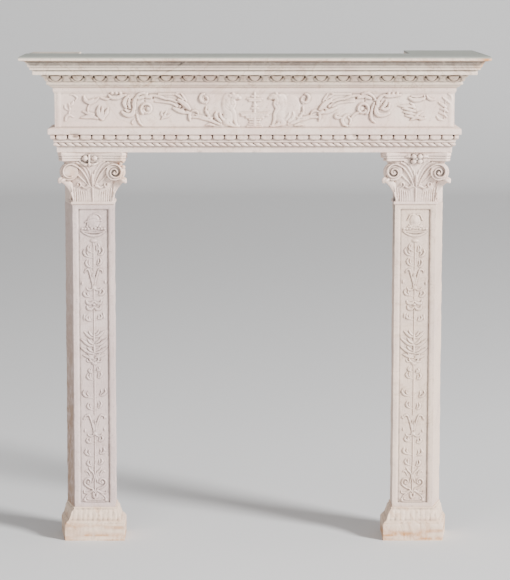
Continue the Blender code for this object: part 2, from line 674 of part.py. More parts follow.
def cornice_stone(finish):
    """Moulded shelf with egg-and-dart, and two plain tails at the back."""
    reach = CORNICE_PROJECTION
    tall = CORNICE_HEIGHT
    profile = ((0.0520, JOINT), (0.0570, 0.0022), (0.0635, 0.0090), (0.0675, 0.0095), (0.0695, 0.0137),
               (0.0675, 0.0180), (0.0665, 0.0190), (0.0710, 0.0300), (0.0790, 0.0385), (0.0800, 0.0405),
               (0.1090, 0.0420), (0.1090, 0.0565), (0.1150, 0.0573), (0.1170, 0.0585), (0.1170, 0.0655),
               (0.1215, 0.0665), (0.1235, 0.0745), (0.1290, 0.0815), (0.1300, 0.0845),
               (reach - 0.0080, 0.0860), (reach - 0.0015, 0.0875), (reach, 0.0930), (reach - 0.0030, tall))
    body = shell([course_ring(out, z) for out, z in profile])
    course_half = LINTEL_HALF + EGG_GROUND + 0.0040
    pitch = 2 * course_half / EGG_COUNT
    carving = course(egg, course_half, EGG_COUNT, EGG_GROUND, (1 - EGG_SHARE) * pitch, EGG_Z)
    for i in range(1, EGG_COUNT):
        u = -course_half + pitch * i
        carving.append(on_face(FRONT, dart(pitch), u=u, w=EGG_Z, d=EGG_GROUND + 0.0005))
    half = LINTEL_HALF + reach - 0.004
    for sign, width, step in ((-1, TAIL_LEFT_WIDTH, TAIL_STEP), (1, TAIL_RIGHT_WIDTH, 0.0008)):
        inner, outer = sorted((sign * half, sign * (half - width)))
        carving.append(box((inner, LEG_DEPTH - 0.012, tall - TAIL_THICKNESS),
                           (outer, LEG_DEPTH + TAIL_LENGTH, tall - step)))
    return stone("cornice_shelf", body, CORNICE_Z, finish, carving=carving)


def main():
    """Clears the scene and sets up the eight stones."""
    for thing in list(bpy.data.objects):
        bpy.data.objects.remove(thing, do_unlink=True)
    pale = material("pale_marble", (0.70, 0.62, 0.56), 0.50)
    grey = material("greyed_marble", (0.62, 0.56, 0.53), 0.55)
    stained = material("stained_marble", (0.68, 0.58, 0.48), 0.60)
    for side, word in ((-1, "left"), (1, "right")):
        base_stone(side, f"{word}_base", stained)
        shaft_stone(side, f"{word}_shaft", grey)
        capital_stone(side, f"{word}_capital", pale)
    lintel_stone(pale)
    cornice_stone(pale)


main()
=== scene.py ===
"""Looks of a carved marble fireplace mantel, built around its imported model.

Each stone of the model is replaced by a finished one with its mouldings, its carving and its wear.
Metres, +Z up, front towards -Y. A stone is laid out from the legs' front plane at LEG_FRONT_Y, and
carving on a face is drawn in millimetres: u across, w up, and a height out of the face.
"""
import logging
import math
from dataclasses import dataclass, field
from enum import Enum
from typing import Callable, Iterable, Sequence

import bpy
import numpy as np
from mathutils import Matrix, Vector


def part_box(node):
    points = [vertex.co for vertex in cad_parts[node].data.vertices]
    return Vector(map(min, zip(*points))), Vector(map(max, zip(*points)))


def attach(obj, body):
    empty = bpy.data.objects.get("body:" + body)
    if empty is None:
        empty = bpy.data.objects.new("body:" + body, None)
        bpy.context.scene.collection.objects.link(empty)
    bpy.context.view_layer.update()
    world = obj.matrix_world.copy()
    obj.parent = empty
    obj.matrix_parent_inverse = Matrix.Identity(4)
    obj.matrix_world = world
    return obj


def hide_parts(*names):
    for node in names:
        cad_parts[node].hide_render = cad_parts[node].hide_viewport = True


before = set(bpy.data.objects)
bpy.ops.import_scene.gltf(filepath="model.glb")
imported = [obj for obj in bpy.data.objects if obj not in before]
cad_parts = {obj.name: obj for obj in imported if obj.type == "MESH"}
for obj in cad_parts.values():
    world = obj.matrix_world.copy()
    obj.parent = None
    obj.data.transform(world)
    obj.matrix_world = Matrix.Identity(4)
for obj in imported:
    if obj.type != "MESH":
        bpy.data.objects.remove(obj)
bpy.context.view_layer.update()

MM = 0.001
LOG = logging.getLogger("mantel")

# Sizes of the stones, as in the part
OPENING_WIDTH = 0.8888
SHAFT_WIDTH = 0.1285
LEG_DEPTH = 0.100
LEG_SPLAY = 0.031
LEG_FRONT_Y = -0.109
SHAFT_AXIS = OPENING_WIDTH / 2 + SHAFT_WIDTH / 2
LINTEL_HALF = SHAFT_AXIS + SHAFT_WIDTH / 2 + 0.005
SHAFT_Z, CAPITAL_Z, LINTEL_Z, CORNICE_Z = 0.103, 1.078, 1.247, 1.450
JOINT = 0.0003
NEIGHBOUR = 0.012            # points further apart than this don't wear each other down
UNDER_ALL = -9.0             # millimetres, lower than any cut in a face

Point = tuple[float, float]
Body = tuple[np.ndarray, list]


class Side(Enum):
    """Which leg a stone belongs to."""

    LEFT = -1
    RIGHT = 1


def value_noise(u: np.ndarray, w: np.ndarray, seed: int) -> np.ndarray:
    """Smooth noise between -1 and 1 on a unit grid.

    Args:
        u, w: places, in cells of the noise.
        seed: which noise.

    Returns:
        The noise at each place.
    """
    lattice = np.random.RandomState(seed).uniform(-1, 1, (64, 64))
    iu, iw = np.floor(u).astype(int), np.floor(w).astype(int)
    fu, fw = u - iu, w - iw
    fu, fw = fu * fu * (3 - 2 * fu), fw * fw * (3 - 2 * fw)
    low = lattice[iu % 64, iw % 64] * (1 - fu) + lattice[(iu + 1) % 64, iw % 64] * fu
    high = lattice[iu % 64, (iw + 1) % 64] * (1 - fu) + lattice[(iu + 1) % 64, (iw + 1) % 64] * fu
    return low * (1 - fw) + high * fw


def tooling(u: np.ndarray, w: np.ndarray, *waves: tuple[float, float, float, int]) -> np.ndarray:
    """Waves of noise laid over each other, as tools and wear leave them.

    Args:
        u, w: places on a face.
        waves: for each wave its height, how many cells it has in a unit of u and of w, and its seed.

    Returns:
        The sum of the waves at each place.
    """
    return sum(height * value_noise(u * across, w * up, seed) for height, across, up, seed in waves)


def hill(gap: np.ndarray, reach: float) -> np.ndarray:
    """One where the gap is nothing, falling off softly on both sides."""
    return np.exp(-(gap / reach) ** 2)


def smooth_chain(points: Sequence[Sequence[float]], steps: int = 8) -> np.ndarray:
    """A smooth curve through a chain of points.

    Args:
        points: the chain, in two or three dimensions.
        steps: pieces between two points.

    Returns:
        The curve's points, one a row.
    """
    p = np.array(points, float)
    if len(p) < 3:
        t = np.linspace(0, 1, steps + 1)[:, None]
        return p[0] * (1 - t) + p[-1] * t
    ends = np.vstack([2 * p[0] - p[1], p, 2 * p[-1] - p[-2]])
    t = np.linspace(0, 1, steps, endpoint=False)[:, None]
    parts = []
    for a, b, c, d in zip(ends, ends[1:], ends[2:], ends[3:]):
        parts.append(0.5 * (2 * b + (c - a) * t + (2 * a - 5 * b + 4 * c - d) * t ** 2
                            + (3 * b - a - 3 * c + d) * t ** 3))
    return np.vstack(parts + [p[-1:]])


def spiral(centre: Point, start: float, end: float, first: float, last: float,
           steps: int = 28) -> list[Point]:
    """Points of a spiral.

    Args:
        centre: its middle.
        start, end: angles in degrees.
        first, last: radius at the two ends.
        steps: number of pieces.

    Returns:
        The points, from the first angle to the last.
    """
    share = np.linspace(0, 1, steps + 1)
    angle = np.radians(start + (end - start) * share)
    radius = first + (last - first) * share
    return list(zip(centre[0] + radius * np.cos(angle), centre[1] + radius * np.sin(angle)))


@dataclass
class Relief:
    """Height field of one carved face, in millimetres, drawn with a carver's few strokes."""

    half: float
    tall: float
    cell: float = 1.0
    flip: int = 1
    height: np.ndarray = field(init=False)

    def __post_init__(self) -> None:
        """Starts from a plain face."""
        across = int(round(2 * self.half / self.cell)) + 1
        up = int(round(self.tall / self.cell)) + 1
        self.height = np.zeros((up, across))

    def window(self, points: np.ndarray, margin: float) -> tuple[tuple[slice, slice], np.ndarray, np.ndarray]:
        """The part of the face near some points.

        Args:
            points: places that the stroke touches.
            margin: how far the stroke reaches round them.

        Returns:
            The slices of the field, and u and w of its cells.
        """
        rows, columns = self.height.shape
        low = np.floor((points.min(0) - margin + (self.half, 0)) / self.cell).astype(int)
        high = np.ceil((points.max(0) + margin + (self.half, 0)) / self.cell).astype(int) + 1
        c0, c1 = np.clip((low[0], high[0]), 0, columns)
        r0, r1 = np.clip((low[1], high[1]), 0, rows)
        u, w = np.meshgrid(np.arange(c0, c1) * self.cell - self.half, np.arange(r0, r1) * self.cell)
        return (slice(r0, r1), slice(c0, c1)), u, w

    def placed(self, points: Iterable[Sequence[float]]) -> np.ndarray:
        """Points turned to the half of the face that is being drawn."""
        p = np.array(list(points), float)
        p[:, 0] *= self.flip
        return p

    def stem(self, points: Iterable[Sequence[float]], radius: float, rise: float, taper: float = 1.0,
             cut: bool = False) -> None:
        """A round stem along a smooth curve, or a round groove when it is cut in.

        Args:
            points: the chain that the stem follows.
            radius: half its width at the start.
            rise: its height.
            taper: share of the width and height that is left at the end.
            cut: whether it is cut into what is there.
        """
        path = smooth_chain(self.placed(points))
        place, u, w = self.window(path, radius + 1)
        if not u.size:
            return
        best = np.zeros_like(u)
        for i, (a, b) in enumerate(zip(path, path[1:])):
            share = 1 + (taper - 1) * i / (len(path) - 1)
            along = b - a
            t = np.clip(((u - a[0]) * along[0] + (w - a[1]) * along[1]) / max(along @ along, 1e-9), 0, 1)
            gap = np.hypot(u - a[0] - t * along[0], w - a[1] - t * along[1]) / (radius * share)
            best = np.maximum(best, rise * share * np.sqrt(np.clip(1 - gap * gap, 0, 1)))
        patch = self.height[place]
        self.height[place] = patch - best if cut else np.maximum(patch, best)

    def boss(self, centre: Point, radii: Point, rise: float, angle: float = 0.0) -> None:
        """A rounded oval lump, turned by an angle in degrees."""
        middle = self.placed([centre])
        turn = math.radians(angle * self.flip)
        place, u, w = self.window(middle, max(radii) + 1)
        du, dw = u - middle[0, 0], w - middle[0, 1]
        a = (du * math.cos(turn) + dw * math.sin(turn)) / radii[0]
        b = (dw * math.cos(turn) - du * math.sin(turn)) / radii[1]
        self.height[place] = np.maximum(self.height[place], rise * np.sqrt(np.clip(1 - a * a - b * b, 0, 1)))

    def drill(self, centre: Point, radius: float, depth: float) -> None:
        """A drilled hole."""
        middle = self.placed([centre])
        place, u, w = self.window(middle, radius + 1)
        gap = np.hypot(u - middle[0, 0], w - middle[0, 1]) / radius
        self.height[place] -= depth * np.clip(1.3 - gap, 0, 1)

    def frond(self, points: Iterable[Sequence[float]], widths: Sequence[float], rise: float,
              lobes: int = 0) -> None:
        """A leaf along a smooth curve, hollowed along its rib and set off by a thin cut line.

        Args:
            points: the chain that the rib follows.
            widths: full width at evenly spread places of the curve.
            rise: its height.
            lobes: lobes along each edge, or none for a plain blade.
        """
        path = smooth_chain(self.placed(points), 6)
        place, u, w = self.window(path, max(widths) / 2 + 3)
        if not u.size:
            return
        pieces = np.hypot(*np.diff(path, axis=0).T)
        begun = np.concatenate([[0.0], np.cumsum(pieces)])
        best, share = np.full(u.shape, 1e9), np.zeros(u.shape)
        for a, b, piece, start in zip(path, path[1:], pieces, begun):
            along = (b - a) / max(piece, 1e-9)
            t = np.clip((u - a[0]) * along[0] + (w - a[1]) * along[1], 0, piece)
            gap = np.hypot(u - a[0] - t * along[0], w - a[1] - t * along[1])
            share = np.where(gap < best, (start + t) / begun[-1], share)
            best = np.minimum(gap, best)
        half = np.interp(share, np.linspace(0, 1, len(widths)), widths) / 2
        phase = 2 * np.pi * lobes * (share - 0.25 * best / max(widths))
        if lobes:
            half = half * (1 + 0.22 * np.cos(phase))
        gap = best / half
        form = np.clip(1 - gap ** 2.6, 0, 1) ** 0.5 * (0.72 + 0.28 * np.clip(gap * 1.5, 0, 1))
        if lobes:
            form = form * (0.88 + 0.12 * np.cos(phase))
        patch = self.height[place]
        outline = 0.7 * np.clip(1 - np.abs(best - half - 0.6) / 1.2, 0, 1)
        around = patch - outline * (patch > -0.5)
        self.height[place] = np.maximum(around, np.where(gap < 1, rise * form, UNDER_ALL))

    def fronds(self, rise: float, rows: Iterable[tuple[Sequence[Point], Sequence[float], float]]) -> None:
        """Several fronds, each with its chain, its widths and its share of the height."""
        for points, widths, share in rows:
            self.frond(points, widths, rise * share)

    def sample(self, u: np.ndarray, w: np.ndarray) -> np.ndarray:
        """Height at any places, in millimetres; nothing outside the face."""
        rows, columns = self.height.shape
        x = (u + self.half) / self.cell
        y = w / self.cell
        inside = (x >= 0) & (x <= columns - 1) & (y >= 0) & (y <= rows - 1)
        x, y = np.clip(x, 0, columns - 1.001), np.clip(y, 0, rows - 1.001)
        c, r = x.astype(int), y.astype(int)
        fx, fy = x - c, y - r
        h = self.height
        low = h[r, c] * (1 - fx) + h[r, c + 1] * fx
        high = h[r + 1, c] * (1 - fx) + h[r + 1, c + 1] * fx
        return np.where(inside, low * (1 - fy) + high * fy, 0)


def rows_of(profile: Sequence[tuple[float, float, int]]) -> np.ndarray:
    """Rows of a moulding from its profile.

    Args:
        profile: projection, height and the number of rows up to there from the point before.

    Returns:
        Projection and height of each row.
    """
    rows = [profile[0][:2]]
    for (p0, z0, _), (p1, z1, count) in zip(profile, profile[1:]):
        for i in range(1, count + 1):
            rows.append((p0 + (p1 - p0) * i / count, z0 + (z1 - z0) * i / count))
    return np.array(rows)


def closed(rings: np.ndarray) -> Body:
    """Closes a stack of rings.

    A dense field of carved points can't be laid with the modelling operators, so the faces are
    listed directly.

    Args:
        rings: rows, columns and xyz, each ring anticlockwise from above and the rows going up.

    Returns:
        The points, and the faces with one over each end.
    """
    rows, columns = rings.shape[:2]
    row = np.arange(rows - 1)[:, None] * columns
    here = np.arange(columns)[None]
    there = (here + 1) % columns
    quads = np.stack([row + here, row + there, row + columns + there, row + columns + here], -1)
    faces = quads.reshape(-1, 4).tolist()
    faces.append(list(range(columns))[::-1])
    faces.append([(rows - 1) * columns + i for i in range(columns)])
    return rings.reshape(-1, 3), faces


def in_edit_mode(name: str, points: np.ndarray, faces: list) -> bpy.types.Object:
    """Makes an object of points and faces, and leaves it in edit mode with all of it selected."""
    mesh = bpy.data.meshes.new(name)
    mesh.from_pydata(points.tolist(), [], faces)
    thing = bpy.data.objects.new(name, mesh)
    bpy.context.scene.collection.objects.link(thing)
    with_only(thing)
    bpy.ops.object.mode_set(mode="EDIT")
    bpy.ops.mesh.select_all(action="SELECT")
    return thing


def solid(name: str, rings: np.ndarray) -> bpy.types.Object:
    """Makes an object of a stack of rings, and merges the points where a ring folds onto itself."""
    thing = in_edit_mode(name, *closed(rings))
    bpy.ops.mesh.remove_doubles(threshold=1e-6)
    bpy.ops.mesh.dissolve_degenerate(threshold=1e-6)
    bpy.ops.object.mode_set(mode="OBJECT")
    return thing


def with_only(*things: bpy.types.Object) -> None:
    """Selects these objects and nothing else, the first one active."""
    bpy.ops.object.select_all(action="DESELECT")
    for thing in things:
        thing.select_set(True)
    bpy.context.view_layer.objects.active = things[0]


def apply_modifier(thing: bpy.types.Object, kind: str, **settings: object) -> None:
    """Adds a modifier with its settings and applies it."""
    step = thing.modifiers.new(kind.lower(), kind)
    for name, value in settings.items():
        setattr(step, name, value)
    with_only(thing)
    bpy.ops.object.modifier_apply(modifier=step.name)


def worn(rings: np.ndarray, passes: int, share: float) -> np.ndarray:
    """Softens the arrises of a stack of rings, leaving its first and last ring.

    Args:
        rings: the stack.
        passes: how often.
        share: how far each point moves towards its neighbours.

    Returns:
        The softened stack.
    """
    rings = rings.copy()
    for _ in range(passes):
        along = (np.roll(rings, 1, 1) + np.roll(rings, -1, 1)) / 2
        near = np.linalg.norm(along - rings, axis=2, keepdims=True) < NEIGHBOUR
        middle = np.where(near, along, rings)
        level = rings + share * 0.6 * (middle - rings)
        level[1:-1] += share * ((rings[:-2] + rings[2:]) / 2 - rings[1:-1])
        rings[1:-1] = level[1:-1]
    return rings


def recesses(thing: bpy.types.Object, reach: int) -> np.ndarray:
    """How deep each point lies in a hollow of the surface.

    Args:
        thing: the finished piece.
        reach: how many points wide the hollows are.

    Returns:
        Depth below the smoothed surface in millimetres, negative on arrises.
    """
    mesh = thing.data
    place = points_of(thing)
    count = len(place)
    normal = np.empty(count * 3)
    mesh.vertices.foreach_get("normal", normal)
    edges = np.empty(len(mesh.edges) * 2, int)
    mesh.edges.foreach_get("vertices", edges)
    edges = edges.reshape(-1, 2)
    edges = edges[np.linalg.norm(place[edges[:, 0]] - place[edges[:, 1]], axis=1) < NEIGHBOUR]
    a, b = edges.T
    share = np.maximum(np.bincount(a, minlength=count) + np.bincount(b, minlength=count), 1)
    soft = place.copy()
    for _ in range(reach):
        total = np.stack([np.bincount(a, soft[b, i], count) + np.bincount(b, soft[a, i], count)
                          for i in range(3)], 1)
        soft = np.where(share[:, None] > 1, total / share[:, None], soft)
    return ((soft - place) * normal.reshape(-1, 3)).sum(1) / MM


def tint(thing: bpy.types.Object, name: str, values: np.ndarray) -> None:
    """Writes a value for each point as an attribute that the material reads."""
    layer = thing.data.attributes.new(name, "FLOAT", "POINT")
    layer.data.foreach_set("value", np.clip(values, 0, 1).astype(np.float32))


def points_of(thing: bpy.types.Object) -> np.ndarray:
    """Places of all points of a mesh, one a row."""
    place = np.empty(len(thing.data.vertices) * 3)
    thing.data.vertices.foreach_get("co", place)
    return place.reshape(-1, 3)


def linear(colour: str) -> tuple[float, float, float, float]:
    """An sRGB hex colour as linear red, green, blue and alpha."""
    parts = [int(colour[i:i + 2], 16) / 255 for i in (1, 3, 5)]
    return (*[c / 12.92 if c <= 0.04045 else ((c + 0.055) / 1.055) ** 2.4 for c in parts], 1.0)


def add_node(tree: bpy.types.NodeTree, kind: str, settings: dict | None = None,
             inputs: dict | None = None) -> bpy.types.Node:
    """Adds a shader node.

    Args:
        tree: the material's nodes.
        kind: the node's type.
        settings: its own settings.
        inputs: values or other nodes' sockets, by the name or number of the input.

    Returns:
        The node.
    """
    node = tree.nodes.new(kind)
    for name, value in (settings or {}).items():
        setattr(node, name, value)
    for name, value in (inputs or {}).items():
        socket = node.inputs[name]
        if isinstance(value, bpy.types.NodeSocket):
            tree.links.new(value, socket)
        else:
            socket.default_value = value
    return node


@dataclass(frozen=True)
class Marble:
    """Honed marble, long exposed: clouds, thin veins, pits, grime with painted shade in the hollows, ochre
    stains and dust.
    """

    name: str
    ground: str
    cloud: str
    vein: str
    # colour of the grime in pits, and of the painted shade in hollows
    grime_and_shade: str
    stain: str
    roughness: float
    cloud_size: float = 160.0     # millimetres across a cloud
    dust: str = "#85877f"
    vein_size: float = 420.0
    vein_strength: float = 0.35
    grain_size: float = 2.2       # marble grain is finer; drawn this coarse so that it shows
    grain_depth: float = 0.10
    pit_size: float = 7.0
    pit_strength: float = 0.30

    def material(self) -> bpy.types.Material:
        """Builds the material's nodes."""
        stone = bpy.data.materials.new(self.name)
        stone.use_nodes = True
        tree = stone.node_tree
        shader = tree.nodes["Principled BSDF"]
        place = add_node(tree, "ShaderNodeTexCoord").outputs["Object"]
        clouds = self.noise(tree, place, 1000 / self.cloud_size, 5.0, 0.62, 0.6)
        veins = self.noise(tree, place, 1000 / self.vein_size, 6.0, 0.58, 1.6)
        pits = self.noise(tree, place, 1000 / self.pit_size, 4.0, 0.6)
        patches = self.noise(tree, place, 42.0, 5.0, 0.65)
        off_vein = self.maths(tree, "ABSOLUTE", self.maths(tree, "SUBTRACT", veins, 0.5))
        ragged, speckled = self.ramp(tree, patches, 0.25, 0.62), self.ramp(tree, patches, 0.10, 0.50)
        stained = self.maths(tree, "MULTIPLY", self.layer(tree, "stain"), ragged)
        # painted shade mixed with speckled grime: the attribute darkens hollows as shade would
        dirt_and_shade = self.maths(tree, "MULTIPLY", self.layer(tree, "grime_and_shade"), speckled)
        colour = linear(self.ground)
        for mask, over in ((self.ramp(tree, clouds, 0.38, 0.68), self.cloud),
                           (self.ramp(tree, off_vein, 0.016, 0.0, self.vein_strength), self.vein),
                           (stained, self.stain),
                           (self.ramp(tree, pits, 0.55, 0.74, self.pit_strength), self.grime_and_shade),
                           (dirt_and_shade, self.grime_and_shade), (self.layer(tree, "dust"), self.dust)):
            layers = {0: mask, 6: colour, 7: linear(over)}
            colour = add_node(tree, "ShaderNodeMix", {"data_type": "RGBA"}, layers).outputs[2]
        tree.links.new(colour, shader.inputs["Base Color"])
        chisel = add_node(tree, "ShaderNodeBump", None, {"Strength": 0.35, "Distance": 0.0016,
                                                         "Height": self.noise(tree, place, 48.0, 3.0)})
        grain = self.noise(tree, place, 1000 / self.grain_size, 2.0)
        bump = add_node(tree, "ShaderNodeBump", None, {"Strength": self.grain_depth, "Distance": 0.0006,
                                                       "Height": grain, "Normal": chisel.outputs["Normal"]})
        tree.links.new(bump.outputs["Normal"], shader.inputs["Normal"])
        shader.inputs["Roughness"].default_value = self.roughness
        shader.inputs["IOR"].default_value = 1.49
        stone.diffuse_color = linear(self.ground)
        return stone

    @staticmethod
    def ramp(tree: bpy.types.NodeTree, value: bpy.types.NodeSocket, low: float, high: float,
             top: float = 1.0) -> bpy.types.NodeSocket:
        """A smooth rise from nothing to the top value between two values."""
        node = add_node(tree, "ShaderNodeMapRange", {"interpolation_type": "SMOOTHSTEP"},
                        {"Value": value, "From Min": low, "From Max": high, "To Min": 0.0, "To Max": top})
        return node.outputs["Result"]

    @staticmethod
    def noise(tree: bpy.types.NodeTree, place: bpy.types.NodeSocket, scale: float, detail: float,
              roughness: float = 0.5, distortion: float = 0.0) -> bpy.types.NodeSocket:
        """Noise with so many cells in a metre."""
        node = add_node(tree, "ShaderNodeTexNoise", None,
                        {"Vector": place, "Scale": scale, "Detail": detail, "Roughness": roughness,
                         "Distortion": distortion})
        return node.outputs["Fac"]

    @staticmethod
    def maths(tree: bpy.types.NodeTree, operation: str, *values: object) -> bpy.types.NodeSocket:
        """The result of an operation on one or two values, each a socket or a number."""
        return add_node(tree, "ShaderNodeMath", {"operation": operation}, dict(enumerate(values))).outputs[0]

    @staticmethod
    def layer(tree: bpy.types.NodeTree, name: str) -> bpy.types.NodeSocket:
        """What the stone has written at its points under a name."""
        return add_node(tree, "ShaderNodeAttribute", {"attribute_name": name}).outputs["Fac"]


# Pinkish statuary marble, honed and lightly waxed once: a soft satin light on the carving
PALE = Marble("honed_pale_marble", "#efd8c9", "#e3c8bb", "#c8a892", "#4c433c", "#c98d4c", 0.50)
# The same marble with a dull, dusty top and a creamier edge
SHELF = Marble("honed_shelf_marble", "#eedbc8", "#e0c8b8", "#a98468", "#4a433c", "#cb8538", 0.54)
# Shafts have greyed more evenly, with wide soft clouds
GREYED = Marble("greyed_shaft_marble", "#d9c4bc", "#cfb9b3", "#b89f93", "#4f4640", "#a0764f", 0.54, 210.0)
# The right shaft has kept more of its warm colour
WARM = Marble("warm_shaft_marble", "#e5ccb9", "#d7bfb1", "#bea18c", "#4f463f", "#b3875a", 0.54, 210.0)
# Bases keep the damp: ochre streaks on the plinths
STAINED = Marble("stained_base_marble", "#edd3bc", "#dfc4ae", "#b98a5c", "#54483e", "#bd8248", 0.58)


@dataclass
class Stone:
    """What every stone of the mantel shares: its place, finish and the node it stands for."""

    node: str
    base_z: float
    finish: bpy.types.Material
    material_slot: str
    hollow_reach: int = 9
    grime_and_shade_free: float = 0.15     # millimetres of hollow that stay clean and carry no painted shade
    grime_and_shade_scale: float = 2.4     # millimetres of hollow more that are wholly dark with grime and painted shade

    def rings(self) -> np.ndarray:
        """The stone's rings, from its foot up."""
        raise NotImplementedError

    def stain(self, place: np.ndarray) -> np.ndarray:
        """How stained each point is; places are in the frame of the whole mantel."""
        return np.zeros(len(place))

    def grime_and_shade(self, place: np.ndarray, hollow: np.ndarray) -> np.ndarray:
        """How dark each point is painted with grime and painted shade, from its place and how deep it lies in
        a hollow.
        """
        # painted shade: the deeper the hollow, the darker the colour
        return (hollow - self.grime_and_shade_free) / self.grime_and_shade_scale

    def build(self) -> bpy.types.Object:
        """Makes the finished stone in its place."""
        rings = self.rings()
        rings[..., 1] += LEG_FRONT_Y
        rings[..., 2] += self.base_z
        return solid(self.node + "_stone", rings)

    def dress(self, thing: bpy.types.Object) -> None:
        """Gives the stone its material, its wear, its painted shade and its place in the frame."""
        with_only(thing)
        bpy.ops.object.shade_smooth_by_angle(angle=math.radians(38))
        thing.data.materials.clear()
        thing.data.materials.append(self.finish)
        hollow = recesses(thing, self.hollow_reach)
        place = points_of(thing)
        # painted shade and grime written as one attribute for the material
        tint(thing, "grime_and_shade", self.grime_and_shade(place, hollow))
        tint(thing, "stain", self.stain(place))
        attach(thing, "root")
        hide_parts(self.node)
        LOG.info("%s: %d faces", thing.name, len(thing.data.polygons))


def ring_stack(rows: np.ndarray, corners: Callable[[float], np.ndarray], front: np.ndarray, side: np.ndarray,
               relief: Callable[[np.ndarray, np.ndarray, str], np.ndarray]) -> np.ndarray:
    """Rings of a moulded stone with carving on its front and sides.

    Args:
        rows: projection and height of each row.
        corners: the four corners of the plan at a projection: front left, front right, back right, back left.
        front, side: shares from 0 to 1 at which the points stand along a front and a side.
        relief: height out of the face at places along and up a face, which is front, left or right;
            along is from the middle on the front, and from the front corner on a side.

    Returns:
        The rings, in the stone's own frame.
    """
    plan = np.array([corners(p) for p, _ in rows])
    z = rows[:, 1][:, None]
    fl, fr, br, bl = (plan[:, i][:, None] for i in range(4))
    face = fl + (fr - fl) * front[None, :, None]
    lift = relief(face[..., 0], z + 0 * face[..., 0], "front")
    face[..., 1] -= lift
    face[:, 0, 0] -= lift[:, 0]
    face[:, -1, 0] += lift[:, -1]
    flanks = []
    for name, fore, aft, outwards in (("right", fr, br, 1), ("left", fl, bl, -1)):
        flank = fore + (aft - fore) * side[None, 1:, None]
        flank[..., 0] += outwards * relief(flank[..., 1] - fore[..., 1], z + 0 * flank[..., 0], name)
        flanks.append(flank)
    flat = np.concatenate([face, flanks[0], flanks[1][:, ::-1]], 1)
    return np.concatenate([flat, np.repeat(z[..., None], flat.shape[1], 1)], 2)


def leg_corners(side: Side, back_share: float = 1.0) -> Callable[[float], np.ndarray]:
    """Plan of a leg at any projection: square towards the opening, splayed outside."""
    def at(out: float) -> np.ndarray:
        """The four corners at one projection."""
        inner = SHAFT_AXIS - SHAFT_WIDTH / 2 - out
        outer = SHAFT_AXIS + SHAFT_WIDTH / 2 + out
        back = SHAFT_AXIS + SHAFT_WIDTH / 2 + LEG_SPLAY + out * back_share
        if side is Side.RIGHT:
            return np.array([(inner, -out), (outer, -out), (back, LEG_DEPTH), (inner, LEG_DEPTH)])
        return np.array([(-outer, -out), (-inner, -out), (-inner, LEG_DEPTH), (-back, LEG_DEPTH)])
    return at


def course_corners(out: float) -> np.ndarray:
    """Plan of the lintel or the cornice at one projection, with mitred corners."""
    half = LINTEL_HALF + out
    return np.array([(-half, -out), (half, -out), (half, LEG_DEPTH), (-half, LEG_DEPTH)])


def band(value: np.ndarray, low: float, high: float, soft: float) -> np.ndarray:
    """One between two values and nothing outside, with soft edges."""
    return np.clip((value - low) / soft + 0.5, 0, 1) * np.clip((high - value) / soft + 0.5, 0, 1)


@dataclass
class Base(Stone):
    """Plinth and flared moulding of one leg, with upright tongues on the slope."""

    side: Side = Side.LEFT
    reach: float = 0.031
    plinth: float = 0.0545
    tall: float = 0.103
    tongues: int = 9
    grime_and_shade_scale: float = 1.9

    def rings(self) -> np.ndarray:
        """Rings of the plinth, the slope with its tongues, and the fillet on top."""
        r, s = self.reach, self.tall - self.plinth
        profile = ((r, 0.0, 0), (r, self.plinth * 0.94, 9), (r - 0.001, self.plinth, 2),
                   (0.87 * r, self.plinth + 0.02 * s, 2), (0.85 * r, self.plinth + 0.08 * s, 2),
                   (0.60 * r, self.plinth + 0.20 * s, 4), (0.42 * r, self.plinth + 0.50 * s, 8),
                   (0.30 * r, self.plinth + 0.74 * s, 7), (0.10 * r, self.plinth + 0.88 * s, 5),
                   (0.14 * r, self.plinth + 0.90 * s, 1), (0.12 * r, self.tall - JOINT, 3))
        axis = self.side.value * SHAFT_AXIS
        pitch = (SHAFT_WIDTH + 0.5 * r) / self.tongues
        low, high = self.plinth + 0.12 * s, self.plinth + 0.86 * s

        def relief(along: np.ndarray, up: np.ndarray, face: str) -> np.ndarray:
            """Tongues on the slope, and a tooled, chipped plinth."""
            rough = tooling(along, up, (0.0005, 60, 60, 3), (0.0004, 190, 90, 5))
            room = band(up, low, high, 0.006)
            if face == "front":
                phase = (along - axis) / pitch + 0.5 * (self.tongues % 2 == 0)
            else:
                phase = along / pitch
            round_top = np.sqrt(np.clip(1 - (2 * (phase - np.round(phase)) / 0.80) ** 2, 0, 1))
            arris = hill(up - self.plinth, 0.004)
            chips = 0.0040 * arris * np.clip(value_noise(along * 70, up * 20, 8) - 0.35, 0, 1)
            slope = room * 0.0011 * round_top - 0.0005 * room
            return slope + 1.6 * rough * band(up, 0.003, self.tall - 0.004, 0.004) - chips

        return worn(ring_stack(rows_of(profile), leg_corners(self.side, 0.65), np.linspace(0, 1, 97),
                               np.linspace(0, 1, 40), relief), 1, 0.3)

    def stain(self, place: np.ndarray) -> np.ndarray:
        """Ochre streaks along the plinth, more at its foot."""
        low = np.clip(1.3 - place[:, 2] / 0.062, 0, 1)
        along = place[:, 0] + place[:, 1]
        streak = tooling(along, place[:, 2], (1.0, 9, 120, 11), (0.5, 14, 260, 13))
        ground = 0.60 if self.side is Side.LEFT else 0.44
        return low * np.clip(ground + 1.1 * streak, 0, 1)


